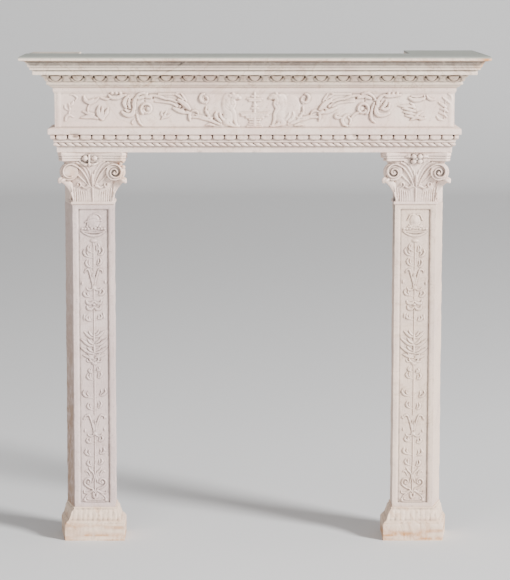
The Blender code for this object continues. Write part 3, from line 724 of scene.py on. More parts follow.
@dataclass
class Shaft(Stone):
    """Pilaster shaft: a sunk panel with its moulded edge and a candelabrum in low relief."""

    side: Side = Side.LEFT
    tall: float = 0.975
    margin: float = 0.018
    foot: float = 0.014
    head: float = 0.0155
    depth: float = 0.005
    rise: float = 4.4            # millimetres
    hollow_reach: int = 7
    grime_and_shade_scale: float = 1.5

    def candelabrum(self) -> Relief:
        """Draws the panel's carving, the two halves alike but for small shifts."""
        half = (SHAFT_WIDTH / 2 - self.margin) / MM
        panel = Relief(half, (self.tall - self.foot - self.head) / MM)
        low = self.rise
        panel.stem(((0, 30), (0, 120)), 2.2, low * 0.8, 0.9)
        for foot, top in ((118, 226), (286, 446), (548, 628), (660, 742), (752, 838)):
            panel.stem(((0, foot), (0.6, (foot + top) / 2), (0, top)), 1.5, low * 0.62)
        for panel.flip in (1, -1):
            shift = 2.5 * panel.flip * (1 if self.side is Side.LEFT else -1)
            self.lyre(panel, low)
            self.sprigs(panel, low, shift)
            self.calyx(panel, low, 228, 284, 30)
            self.calyx(panel, low, 700, 754, 27)
            self.whorl(panel, low, shift)
            self.fruit_dish(panel, low)
        panel.flip = 1
        if self.side is Side.LEFT:
            self.helmet(panel, low)
        else:
            self.shield(panel, low)
        return panel

    @staticmethod
    def lyre(panel: Relief, low: float) -> None:
        """Stepped pedestal with ball feet, and the two scrolls of the lyre on it."""
        panel.stem(((0, 3), (30, 3)), 2.0, low * 0.7)
        panel.stem(((0, 9), (20, 9), (26, 12)), 1.8, low * 0.8)
        panel.stem(((0, 14), (5, 19), (6, 28)), 4.0, low * 0.9)
        panel.boss((34, 8), (5.0, 5.5), low)
        panel.fronds(low, (
            (((6, 40), (14, 34), (24, 30), (34, 31), (36, 38)), (6, 6, 5, 3), 0.95),
            (((20, 28), (28, 22), (33, 15)), (5, 4, 3), 0.7),
            (((3, 84), (6, 96), (14, 104), (20, 114)), (3, 5, 6, 2.5), 0.85),
            (((16, 88), (20, 98), (28, 103), (32, 99)), (3, 5, 5, 2), 0.8)))
        panel.stem(spiral((22, 67), -60, 330, 13.5, 4.0), 2.7, low, 0.8)
        panel.boss((22, 67), (3.6, 3.6), low)
        panel.stem(((29, 55), (18, 47), (9, 44), (4, 36)), 2.6, low)
        panel.stem(((9, 66), (5, 76), (2, 88)), 2.0, low * 0.8)

    @staticmethod
    def sprig(panel: Relief, low: float, foot: float, reach: float, size: float) -> None:
        """A small leaf on a thin stalk, which turns up and curls over, and a smaller one beside it.

        Args:
            panel: the face that is drawn on.
            low: the height of the relief.
            foot: how high it leaves the stem.
            reach: how far out it comes.
            size: how tall it stands.
        """
        stalk = ((1, foot - 2), (reach * 0.35, foot - 1), (reach * 0.6, foot + size * 0.15))
        panel.stem(stalk, 1.1, low * 0.4)
        chain = ((reach * 0.50, foot + size * 0.05), (reach * 0.80, foot + size * 0.20),
                 (reach, foot + size * 0.62), (reach - 3.5, foot + size))
        panel.frond(chain, (3.0, 7.5, 7.0, 2.0), low)
        panel.frond(((reach * 0.48, foot + size * 0.22), (reach * 0.62, foot + size * 0.50),
                     (reach * 0.58, foot + size * 0.86)), (3.0, 5.5, 2.0), low * 0.85)

    @classmethod
    def sprigs(cls, panel: Relief, low: float, shift: float) -> None:
        """Pairs of small leaves all the way up the stem, and loose buds between them."""
        for foot, reach, size in ((120, 24, 20), (155, 31, 20), (196, 26, 16), (305, 22, 22), (344, 36, 24),
                                  (402, 23, 20), (424, 17, 14), (592, 25, 16), (668, 32, 20), (764, 24, 24),
                                  (796, 31, 26), (812, 18, 22)):
            cls.sprig(panel, low, foot + shift, reach, size)
        for u, w, tall in ((29, 168, 11), (31, 604, 10), (31, 236, 6), (34, 276, 5), (36, 712, 6)):
            panel.boss((u, w + shift), (3.2, tall), low * 0.75, 6)

    @staticmethod
    def calyx(panel: Relief, low: float, foot: float, top: float, reach: float) -> None:
        """A slender V of two leaves with turned tips, a bud between them and a knot below."""
        tall = top - foot
        panel.fronds(low, (
            (((2, foot), (6, foot + tall * 0.35), (11, foot + tall * 0.70),
              (reach * 0.62, top), (reach, top - 3), (reach + 1, top - 11)),
             (3, 4.5, 5, 5, 5, 2.5), 1.0),
            (((0.5, foot + 8), (3, foot + tall * 0.42), (2.5, foot + tall * 0.72)), (3, 6, 2), 0.8)))
        panel.boss((0, foot - 4), (7.5, 5.0), low)
        panel.frond(((3, foot - 7), (12, foot - 12), (20, foot - 9), (23, foot - 3)), (3, 5, 5, 2), low * 0.9)

    @staticmethod
    def whorl(panel: Relief, low: float, shift: float) -> None:
        """A leafy knot, the whorl of four tiers of leaves above it, and two scalloped rings."""
        panel.boss((0, 452), (9, 5), low)
        panel.fronds(low, (
            (((2, 456), (9, 458), (14, 466), (11, 472)), (3, 5.5, 6, 2.5), 1.0),
            (((12, 457), (21, 459), (24, 466)), (4, 5, 2), 0.8)))
        for foot, reach, size, share in ((474, 36, 10, 0.9), (490, 41, 20, 1.0), (514, 40, 24, 1.0),
                                         (540, 31, 22, 1.0)):
            w = foot + 0.6 * shift
            panel.fronds(low, (
                (((2, w - 4), (reach * 0.4, w - 2),
                  (reach * 0.75, w + size * 0.35), (reach, w + size * 0.70)),
                 (3.5, 8, 9, 3), share),
                (((4, w + 2), (reach * 0.35, w + size * 0.35), (reach * 0.52, w + size * 0.80)),
                 (3.5, 7, 3), share * 0.9)))
        panel.boss((0, 500), (3.4, 16), low)
        panel.boss((0, 536), (3.0, 13), low)
        for w, reach in ((632, 22), (650, 24)):
            panel.fronds(low, (
                (((1, w + 2), (reach * 0.45, w - 5), (reach * 0.85, w - 3), (reach, w + 5)),
                 (4, 9, 9, 4), 1.0),))
        panel.boss((0, 642), (5, 4), low * 1.1)
        panel.drill((9.0, 641), 1.5, 2.4)

    @staticmethod
    def fruit_dish(panel: Relief, low: float) -> None:
        """The shallow dish on its knob, heaped with fruit."""
        panel.boss((0, 846), (11, 5.0), low)
        panel.fronds(low, (
            (((0, 862), (12, 863), (26, 869), (36, 875)), (7, 7, 6, 3.5), 1.0),
            (((0, 872), (18, 873), (38, 878)), (3.5, 3.5, 3.0), 1.1)))
        for spot in ((6, 886), (16, 884), (26, 884), (35, 884), (11, 893), (20, 891)):
            panel.boss(spot, (4.6, 3.8), low * 0.9)

    @staticmethod
    def helmet(panel: Relief, low: float) -> None:
        """A domed helmet with its rim and crest."""
        panel.boss((0, 908), (20, 22), low)
        panel.stem(((-25, 905), (-12, 909), (0, 910), (12, 909), (25, 911)), 2.4, low * 1.15)
        panel.stem(((-17, 906), (-18, 892)), 1.6, low * 0.9)
        panel.stem(((-6, 921), (2, 930), (16, 929), (24, 920)), 1.8, low * 0.8)
        panel.stem(((-12, 914), (0, 917), (12, 914)), 1.0, 1.4, cut=True)

    @staticmethod
    def shield(panel: Relief, low: float) -> None:
        """A blank shield with scrolled shoulders."""
        panel.boss((0, 909), (17, 22), low * 0.9)
        panel.boss((0, 910), (11, 15), low * 1.2)
        panel.stem(((-14, 903), (0, 901), (14, 903)), 1.0, 1.2, cut=True)
        for sign in (1, -1):
            panel.stem(((sign * 5, 930), (sign * 16, 927), (sign * 21, 916), (sign * 24, 912)), 2.0, low)
            panel.stem(((sign * 18, 898), (sign * 12, 888), (0, 885)), 2.0, low)

    def rings(self) -> np.ndarray:
        """Rings of the shaft, with the panel sunk and carved into its front."""
        panel = self.candelabrum()
        half = panel.half
        axis = self.side.value * SHAFT_AXIS
        edge = (np.linspace(0, 1, 9) * (self.margin / MM + 3) / (SHAFT_WIDTH / MM)).tolist()
        inner = np.linspace(edge[-1], 1 - edge[-1], 66)[1:-1].tolist()
        front = np.array(edge + inner + [1 - share for share in reversed(edge)])
        count = 690
        rows = np.stack([np.zeros(count), np.linspace(0, self.tall - JOINT, count)], 1)
        rows[1, 1], rows[-2, 1] = 0.0006, self.tall - JOINT - 0.0006

        def relief(along: np.ndarray, up: np.ndarray, face: str) -> np.ndarray:
            """Plain sides; on the front the sunk panel, its moulded edge and the carving."""
            rough = tooling(along, up, (0.0004, 90, 30, 21), (0.00025, 330, 120, 23))
            if face != "front":
                return rough * 1.6 * band(up, 0.003, self.tall - 0.003, 0.002)
            u = (along - axis) / MM
            w = (up - self.foot) / MM
            inset = np.minimum(np.minimum(half - np.abs(u), w), panel.tall - w)
            slope = np.clip(inset / 3.2 + 0.9, 0, 1)
            fillet = 0.0007 * hill(inset + 4.2, 1.1)
            carved = panel.sample(u, w) * MM
            return -self.depth * slope + carved - fillet + rough

        stack = ring_stack(rows, leg_corners(self.side), front, np.linspace(0, 1, 5), relief)
        return worn(stack, 1, 0.25)

    def grime_and_shade(self, place: np.ndarray, hollow: np.ndarray) -> np.ndarray:
        """Grime and painted shade in the hollows, and the painted shadow at the top of the right shaft's
        inner side.
        """
        dull = 0.07 * np.clip((place[:, 2] - 0.45) / 0.5, 0, 1) if self.side is Side.LEFT else 0.0
        return super().grime_and_shade(place, hollow) + painted_gap_shadow(place) + dull

    def stain(self, place: np.ndarray) -> np.ndarray:
        """Brown wash on the left leg's outer strip, fading upwards."""
        outer = place[:, 1] > LEG_FRONT_Y + 0.004
        if self.side is Side.RIGHT:
            return 0.06 * outer
        fade = np.clip(1.15 - place[:, 2] / 1.0, 0.15, 0.8)
        return np.where(outer & (place[:, 0] < -SHAFT_AXIS - SHAFT_WIDTH / 2 + 0.001), fade, 0.0)


@dataclass
class Lintel(Stone):
    """Architrave mouldings, twisted course, slotted tongues and the carved frieze."""

    frieze_out: float = 0.0455
    frieze_low: float = 0.079
    frieze_high: float = 0.190
    high: float = 8.0            # millimetres of relief on the frieze
    grime_and_shade_scale: float = 3.0
    tongue_count: int = 33
    tongue_low: float = 0.0408
    tongue_high: float = 0.0573
    tongue_rise: float = 0.0100
    slot: float = 0.0058
    rope_low: float = 0.0193
    rope_high: float = 0.0318
    rope_lobes: int = 55
    ledge: float = 0.0665

    def frieze(self) -> Relief:
        """Draws the carving of the whole frieze; the two halves match but for some of their leaves."""
        panel = Relief((LINTEL_HALF + self.frieze_out) / MM, (self.frieze_high - self.frieze_low) / MM)
        for panel.flip in (-1, 1):
            self.beast(panel)
            self.tail(panel)
            self.horn(panel)
            self.scroll(panel)
            self.boat(panel)
            if panel.flip < 0:
                self.left_leaves(panel)
            else:
                self.right_leaves(panel)
            panel.stem(((611, 4), (611, 107)), 7.0, 1.4)
        panel.flip = 1
        self.fountain(panel)
        return panel

    def fountain(self, panel: Relief) -> None:
        """Two-tier fountain in the middle, in lower relief than the leaves."""
        h = self.high * 0.62
        for half, w, radius, rise in (
                (24, 3, 2.4, 0.7), (20, 9, 2.6, 0.8), (15, 16, 3.4, 0.85), (17, 24, 3.0, 0.9),
                (26, 31, 4.2, 0.95), (40, 38, 4.6, 1.0), (44, 44, 2.6, 1.1), (9, 60, 3.6, 0.9),
                (17, 84, 4.0, 0.9), (24, 89, 2.4, 1.1), (9, 97, 3.2, 0.9)):
            panel.stem(((-half, w), (half, w)), radius, h * rise)
        for low, top, radius in ((8, 26, 6.0), (44, 82, 4.6), (90, 106, 3.2)):
            panel.stem(((0, low), (0, top)), radius, h * 0.85)
        panel.boss((0, 68), (8.5, 5), h)
        panel.boss((0, 103), (4.5, 4.5), h)
        for u in (-33, -20, -7, 7, 20, 33):
            panel.stem(((u * 0.55, 19), (u * 0.8, 29), (u, 40)), 0.9, 1.3, cut=True)
        for u, w in ((9, 63), (-9, 63), (5, 78), (-5, 78), (36, 62)):
            panel.drill((u, w), 1.6, 2.6)

    def beast(self, panel: Relief) -> None:
        """Seated winged beast that faces the fountain: tall folded wing, bent neck, straight forelegs."""
        h = self.high * 0.72
        panel.boss((85, 74), (19, 33), h * 0.72, 4)
        panel.boss((80, 36), (19, 24), h * 0.85, 8)
        panel.boss((86, 20), (15, 16), h * 0.95)
        panel.fronds(h, (
            (((72, 62), (66, 74), (68, 86), (64, 94)), (20, 18, 16, 12), 0.95),
            (((70, 56), (63, 42), (62, 24), (56, 7)), (13, 11, 10, 8), 0.95),
            (((88, 14), (74, 7), (60, 4), (50, 4)), (11, 9, 8, 6), 0.9),
            (((78, 16), (70, 10), (64, 8)), (7, 6, 4), 0.9)))
        panel.boss((61, 96), (14, 9.5), h * 1.15)
        panel.boss((49, 92), (8, 6), h * 1.1, 15)
        panel.boss((68, 105), (6, 3.6), h * 1.1, -25)
        panel.boss((76, 99), (7, 6), h * 1.0)
        for offset in (0, 7, 14):
            feather = ((79 - offset * 0.2, 52 + offset), (93 - offset * 0.3, 66 + offset),
                       (94 - offset * 0.4, 88))
            panel.stem(feather, 0.9, 1.5, cut=True)
        panel.stem(((62, 86), (54, 84), (49, 86)), 1.7, 3.0, cut=True)
        panel.stem(((74, 72), (68, 69), (62, 74)), 1.4, 2.0, cut=True)
        panel.drill((57, 98), 1.5, 2.4)
        panel.drill((79, 15), 2.4, 3.2)
        panel.drill((90, 27), 2.0, 2.4)

    def tail(self, panel: Relief) -> None:
        """The beast's tail: leafy folds at its root, a long double stem, and the tendril above it."""
        h = self.high
        panel.fronds(h, (
            (((201, 32), (176, 32), (160, 27), (140, 22), (122, 15), (106, 9)), (7, 8, 8, 8, 9, 6), 0.8),
            (((184, 40), (166, 35), (150, 30), (132, 31)), (4, 6, 6, 4), 0.85),
            (((106, 18), (114, 26), (122, 38), (120, 48)), (8, 12, 11, 4), 0.9),
            (((98, 24), (105, 34), (109, 46)), (8, 9, 3), 0.85),
            (((134, 24), (144, 36), (146, 48)), (6, 9, 3), 0.75),
            (((126, 6), (140, 9), (152, 7)), (6, 9, 3), 0.7)))
        for spot, radius in (((127, 27), 3.0), ((112, 31), 2.6), ((100, 39), 2.4), ((108, 12), 2.6),
                             ((156, 89), 2.4), ((147, 55), 1.8)):
            panel.drill(spot, radius, 5.0)
        panel.fronds(h, (
            (((151, 64), (152, 52), (149, 43), (140, 37)), (5, 7, 7, 4), 0.8),
            (((157, 104), (166, 101), (169, 92), (166, 83), (158, 78), (150, 82)),
             (4, 8, 10, 10, 8, 4), 1.0),
            (((152, 74), (146, 84), (148, 94), (154, 97)), (4, 6, 6, 4), 0.8),
            (((198, 49), (188, 52), (179, 48), (175, 40)), (4, 7, 7, 3), 0.85)))

    def horn(self, panel: Relief) -> None:
        """Leafy horn with its drilled eye, its drop below, the blades above and the stems it grows from."""
        h = self.high
        panel.fronds(h, (
            (((310, 81), (284, 79), (258, 75), (242, 65)), (5, 6, 7, 6), 0.75),
            (((294, 92), (262, 87), (246, 81), (237, 79)), (4, 7, 7, 5), 0.8),
            (((254, 61), (240, 54), (226, 49), (212, 47), (201, 44)), (6, 12, 13, 12, 8), 0.95),
            (((238, 86), (224, 77), (212, 67), (203, 57)), (8, 15, 16, 9), 1.1),
            (((213, 82), (220, 93), (228, 105)), (5, 8, 3), 0.75),
            (((222, 86), (234, 96), (248, 103)), (4, 8, 3), 0.8),
            (((203, 42), (203, 31), (201, 20)), (8, 10, 3), 0.9)))
        panel.boss((232, 66), (4.6, 3.4), h * 0.9, -30)
        panel.stem(((240, 77), (231, 70), (226, 63), (232, 59)), 1.9, 5.0, cut=True)
        panel.drill((217, 53), 3.8, 7.5)
        panel.drill((196, 31), 2.0, 2.4)

    def scroll(self, panel: Relief) -> None:
        """Spiral ring with a ball in it, the arching leaves over it and the small leaf below."""
        h = self.high
        panel.stem(spiral((337, 58), -50, 330, 18.5, 11), 4.6, h, 0.9)
        panel.boss((332, 58), (8.0, 7.5), h)
        panel.fronds(h, (
            (((376, 88), (366, 99), (352, 106), (334, 105)), (5, 8, 9, 5), 0.9),
            (((362, 90), (350, 95), (334, 96), (322, 93)), (8, 13, 13, 9), 1.0),
            (((326, 100), (306, 98), (290, 94), (276, 87)), (6, 8, 9, 4), 0.9),
            (((300, 103), (276, 104), (254, 103), (238, 107)), (5, 6, 6, 3), 0.6)))
        for spot, radius in (((342, 91), 2.9), ((343, 82), 2.4), ((317, 91), 3.2), ((344, 66), 2.6)):
            panel.drill(spot, radius, 6.5)
        panel.stem(((358, 98), (348, 100), (331, 99)), 1.4, 3.6, cut=True)

    def boat(self, panel: Relief) -> None:
        """Boat-shaped leaf with three berries at the top of the band."""
        h = self.high
        dip = 4 if panel.flip < 0 else -3
        panel.fronds(h, (
            (((454, 101), (446, 97 - dip), (430, 96 - dip), (414, 98), (402, 101)),
             (6, 11, 13, 12, 6), 1.0),))
        for u in (418, 431, 444):
            panel.boss((u, 106), (5.2, 3.8), h * 0.95)

    def left_leaves(self, panel: Relief) -> None:
        """Left half: acanthus over its bowl, three-lobed leaf, spiky leaf, winged cup and end spray."""
        h = self.high
        panel.fronds(h, (
            (((401, 62), (406, 74), (402, 88), (393, 99)), (8, 14, 13, 6), 1.0),
            (((389, 60), (393, 76), (390, 92)), (6, 9, 4), 0.9),
            (((374, 58), (376, 74), (372, 88), (364, 95)), (8, 13, 12, 6), 1.0),
            (((413, 48), (404, 41), (391, 38), (381, 44), (377, 60)), (8, 13, 15, 14, 8), 1.05),
            (((404, 56), (396, 50), (388, 52)), (5, 8, 4), 0.9),
            (((367, 40), (364, 26), (358, 14), (350, 6)), (6, 7, 7, 4), 0.8),
            (((374, 26), (382, 18), (380, 10)), (4, 6, 3), 0.6)))
        for spot, radius, depth in (((384, 87), 2.6, 6.0), ((393, 73), 2.2, 4.0), ((391, 56), 2.2, 4.5),
                                    ((397, 65), 1.8, 3.5), ((365, 20), 2.0, 3.5)):
            panel.drill(spot, radius, depth)
        panel.fronds(h, (
            (((474, 24), (484, 36), (488, 52), (485, 68)), (7, 14, 13, 4), 0.9),
            (((471, 28), (475, 44), (474, 64)), (7, 13, 4), 0.85),
            (((468, 34), (462, 46), (457, 60)), (7, 13, 4), 0.9),
            (((480, 93), (471, 90), (460, 88), (450, 91)), (4, 7, 7, 3), 0.8),
            (((490, 28), (508, 33), (528, 32), (543, 30)), (6, 13, 12, 3), 0.8),
            (((502, 40), (520, 44), (536, 50)), (6, 11, 4), 0.75),
            (((520, 48), (520, 58), (517, 68)), (5, 6, 4), 0.7)))
        panel.fronds(h, (
            (((516, 76), (527, 84), (532, 98)), (9, 12, 4), 0.9),
            (((514, 74), (500, 82), (486, 92)), (9, 11, 4), 0.9),
            (((524, 79), (513, 82), (503, 88)), (7, 9, 4), 1.0),
            (((560, 82), (554, 92), (564, 101), (574, 101)), (3, 6, 6, 3), 0.5)))
        panel.fronds(h * 0.8, (
            (((290, 26), (282, 36), (276, 49)), (5, 9, 3), 1.0),
            (((288, 30), (276, 33), (262, 42)), (5, 9, 3), 1.0),
            (((286, 34), (291, 42), (289, 50)), (4, 7, 3), 0.8)))
        panel.fronds(h * 0.5, (
            (((590, 22), (587, 34), (576, 38), (566, 32)), (8, 9, 8, 4), 1.0),
            (((579, 42), (577, 58), (580, 76)), (5, 6, 3), 0.9),
            (((580, 52), (590, 60), (592, 70)), (4, 8, 3), 0.8),
            (((578, 66), (568, 74), (566, 82)), (4, 8, 3), 0.8)))
        panel.drill((603, 70), 2.4, 2.4)

    def right_leaves(self, panel: Relief) -> None:
        """Right half: fan leaf with its long drop, spiky leaf, bowl flower, curl and end spray."""
        h = self.high
        panel.boss((116, 62), (26, 38), h * 0.42, -6)
        panel.boss((110, 30), (24, 22), h * 0.42)
        for foot, tip in (((128, 34), (150, 26)), ((132, 44), (156, 40)), ((126, 88), (140, 66))):
            panel.stem((foot, ((foot[0] + tip[0]) / 2, (foot[1] + tip[1]) / 2 + 3), tip), 1.6, 2.6)
        panel.fronds(h, (
            (((372, 76), (366, 58), (363, 38), (366, 24), (376, 15)), (6, 8, 9, 9, 4), 0.9),
            (((418, 44), (402, 39), (388, 39), (379, 48), (378, 66)), (8, 13, 15, 14, 8), 1.05),
            (((384, 66), (384, 80), (392, 94), (402, 100)), (9, 13, 12, 5), 1.0),
            (((398, 62), (406, 72), (410, 84)), (8, 13, 5), 0.95),
            (((394, 60), (406, 56), (418, 62), (420, 74)), (6, 10, 10, 4), 0.9),
            (((374, 86), (384, 82), (380, 70)), (5, 8, 4), 0.8)))
        for spot, radius, depth in (((391, 82), 2.8, 6.5), ((399, 73), 2.2, 4.5), ((416, 76), 1.8, 3.5),
                                    ((389, 55), 2.0, 4.0), ((334, 51), 2.0, 3.5)):
            panel.drill(spot, radius, depth)
        panel.fronds(h, (
            (((500, 62), (482, 66), (464, 66), (448, 68)), (5, 9, 9, 3), 0.85),
            (((500, 50), (486, 54), (472, 58), (460, 60)), (6, 10, 9, 3), 0.85),
            (((500, 40), (486, 44), (472, 47), (464, 49)), (6, 10, 9, 3), 0.85),
            (((504, 30), (490, 34), (478, 36), (470, 38)), (6, 9, 8, 3), 0.85),
            (((488, 24), (504, 31), (520, 27), (532, 30)), (5, 11, 10, 4), 0.9),
            (((500, 34), (512, 44), (524, 50)), (6, 10, 4), 0.75),
            (((496, 60), (494, 70), (486, 76)), (6, 8, 4), 0.7)))
        panel.drill((511, 24), 2.6, 4.5)
        panel.drill((527, 33), 2.0, 3.0)
        for w in (62, 55, 43):
            panel.drill((462 + (62 - w) * 0.3, w - 1), 1.8, 3.2)
        panel.fronds(h, (
            (((482, 92), (494, 86), (510, 86), (526, 90)), (7, 13, 14, 7), 0.95),
            (((488, 97), (504, 96), (522, 98)), (5, 7, 4), 0.8),
            (((536, 100), (542, 90), (552, 86), (563, 88)), (4, 8, 8, 3), 0.8),
            (((528, 100), (530, 92), (526, 86)), (4, 6, 4), 0.7)))
        panel.fronds(h * 0.6, (
            (((568, 34), (576, 26), (588, 22)), (5, 9, 4), 0.9),
            (((576, 46), (588, 42), (600, 32)), (4, 10, 4), 1.0),
            (((580, 58), (592, 56), (602, 48)), (4, 10, 4), 1.0),
            (((574, 78), (586, 70), (598, 62)), (4, 10, 4), 0.9),
            (((586, 94), (596, 86), (610, 74)), (4, 9, 4), 0.9),
            (((590, 20), (592, 50), (596, 84)), (3, 4, 3), 0.7),
            (((604, 104), (612, 98), (614, 88)), (4, 7, 4), 0.8)))
        for spot in ((590, 36), (598, 79), (588, 61)):
            panel.drill(spot, 2.0, 2.8)
        panel.fronds(h, (
            (((322, 46), (310, 40), (302, 31)), (8, 7, 5), 0.8),
            (((294, 40), (282, 36), (273, 24), (278, 10), (290, 4)), (4, 8, 10, 10, 5), 0.85),
            (((262, 44), (252, 38), (256, 30), (272, 30)), (5, 9, 9, 4), 0.8),
            (((292, 32), (300, 24), (296, 10)), (4, 7, 4), 0.7)))

    def rope(self, along: np.ndarray, up: np.ndarray) -> np.ndarray:
        """Height of the twisted course at places along and up a face."""
        pitch = 2 * (LINTEL_HALF + 0.0435) / self.rope_lobes
        middle, half = (self.rope_low + self.rope_high) / 2, (self.rope_high - self.rope_low) / 2
        across = np.clip((up - middle) / half, -1, 1)
        section = np.sqrt(np.clip(1 - across * across, 0, 1))
        phase = along / pitch + 0.36 * across
        lobe = np.abs(np.sin(np.pi * phase)) ** 0.55
        mark = np.hypot((phase - np.round(phase)) * pitch, (across - 0.45) * half) / 0.0024
        return 0.0076 * section * (0.05 + 0.95 * lobe) - 0.0030 * np.clip(1.2 - mark, 0, 1)

    def tongues(self, along: np.ndarray, up: np.ndarray) -> np.ndarray:
        """Height of the tongues at places along and up a face, with keyhole slots between them."""
        half_course = LINTEL_HALF + self.frieze_out - 0.0025
        pitch = 2 * half_course / self.tongue_count
        phase = along / pitch + 0.5 * (self.tongue_count % 2)
        slot_gap = np.abs(phase - np.round(phase)) * pitch
        share = (up - self.tongue_low) / (self.tongue_high - self.tongue_low)
        wide = self.slot / 2 * (0.52 + 0.55 * hill(share - 0.82, 0.15))
        slot = np.clip((wide - slot_gap) / 0.0010 + 0.5, 0, 1) * np.clip((share - 0.26) / 0.06, 0, 1)
        edge = 0.30 * hill(slot_gap - 0.0005, 0.0050)
        foot = np.clip((share - edge) / 0.10 + 0.3, 0, 1)
        middle = np.abs(np.abs(phase - np.round(phase)) - 0.5) * pitch
        line = 0.0008 * hill(middle, 0.0012) * band(share, 0.1, 0.7, 0.1)
        form = self.tongue_rise * (0.80 + 0.20 * share) * foot - line
        return form * (1 - slot) - 0.0012 * slot

    def rings(self) -> np.ndarray:
        """Rings of the lintel with all its carved courses."""
        panel = self.frieze()
        face, ledge = self.frieze_out, self.ledge
        profile = (
            (.0400, JOINT, 0), (.0400, .0175, 6), (.0435, .0195, 2), (.0435, .0315, 8), (.0500, .0325, 3),
            (.0500, .0390, 3), (.0505, .0408, 1), (.0505, .0570, 11), (ledge, .0575, 4), (ledge, .0750, 5),
            (ledge - .007, .0775, 3), (face, .0790, 4), (face, .184, 69), (face + .005, .192, 4),
            (face + .005, .2027, 3))

        def relief(along: np.ndarray, up: np.ndarray, side: str) -> np.ndarray:
            """All carving of a face; the sides carry the same courses."""
            rough = tooling(along, up, (0.0003, 50, 60, 31), (0.0002, 160, 160, 33))
            rough = rough * band(up, 0.002, 0.200, 0.002)
            place = along if side == "front" else LINTEL_HALF - along
            lift = band(up, self.rope_low - 0.0004, self.rope_high + 0.0004, 0.0008) * self.rope(place, up)
            lift = lift + band(up, 0.0400, 0.0569, 0.0008) * self.tongues(place, up)
            if side == "front":
                on_frieze = band(up, 0.0785, 0.1900, 0.0008)
                lift = lift + on_frieze * panel.sample(along / MM, (up - self.frieze_low) / MM) * MM
                for u, wide, deep in ((-0.176, 0.010, 0.004), (-0.005, 0.007, 0.003), (0.210, 0.006, 0.002)):
                    lift = lift - deep * hill(along - u, wide) * hill(up, 0.004)
                for u, wide, deep in ((-0.562, 0.012, 0.007), (0.31, 0.009, 0.004)):
                    lift = lift - deep * hill(along - u, wide) * band(up, 0.047, 0.060, 0.004)
            nick = value_noise(along * 34, up * 3, 37) * value_noise(along * 120, up * 9, 39)
            lift = lift - 0.0026 * np.clip(nick - 0.22, 0, 1) * hill(up - 0.0745, 0.0030)
            return lift + rough

        stack = ring_stack(rows_of(profile), course_corners, np.linspace(0, 1, 657),
                           np.linspace(0, 1, 34), relief)
        return worn(stack, 1, 0.22)

    def grime_and_shade(self, place: np.ndarray, hollow: np.ndarray) -> np.ndarray:
        """Grime and painted shade in the hollows, and painted shade behind the tongues and between the turns
        of the twisted course.
        """
        up = place[:, 2] - LINTEL_Z
        # painted shade behind the tongues
        under = 0.5 * band(up, 0.0425, 0.0568, 0.004) * (place[:, 1] > LEG_FRONT_Y - 0.0560)
        front = place[:, 1] < LEG_FRONT_Y - 0.030
        course = band(up, self.rope_low, self.rope_high, 0.001) * front
        # painted shade where the twisted course dips between its turns
        twist_shade = course * np.clip(1 - self.rope(place[:, 0], up) / 0.0062, 0, 1)
        return super().grime_and_shade(place, hollow) + 0.25 * under + 0.8 * twist_shade


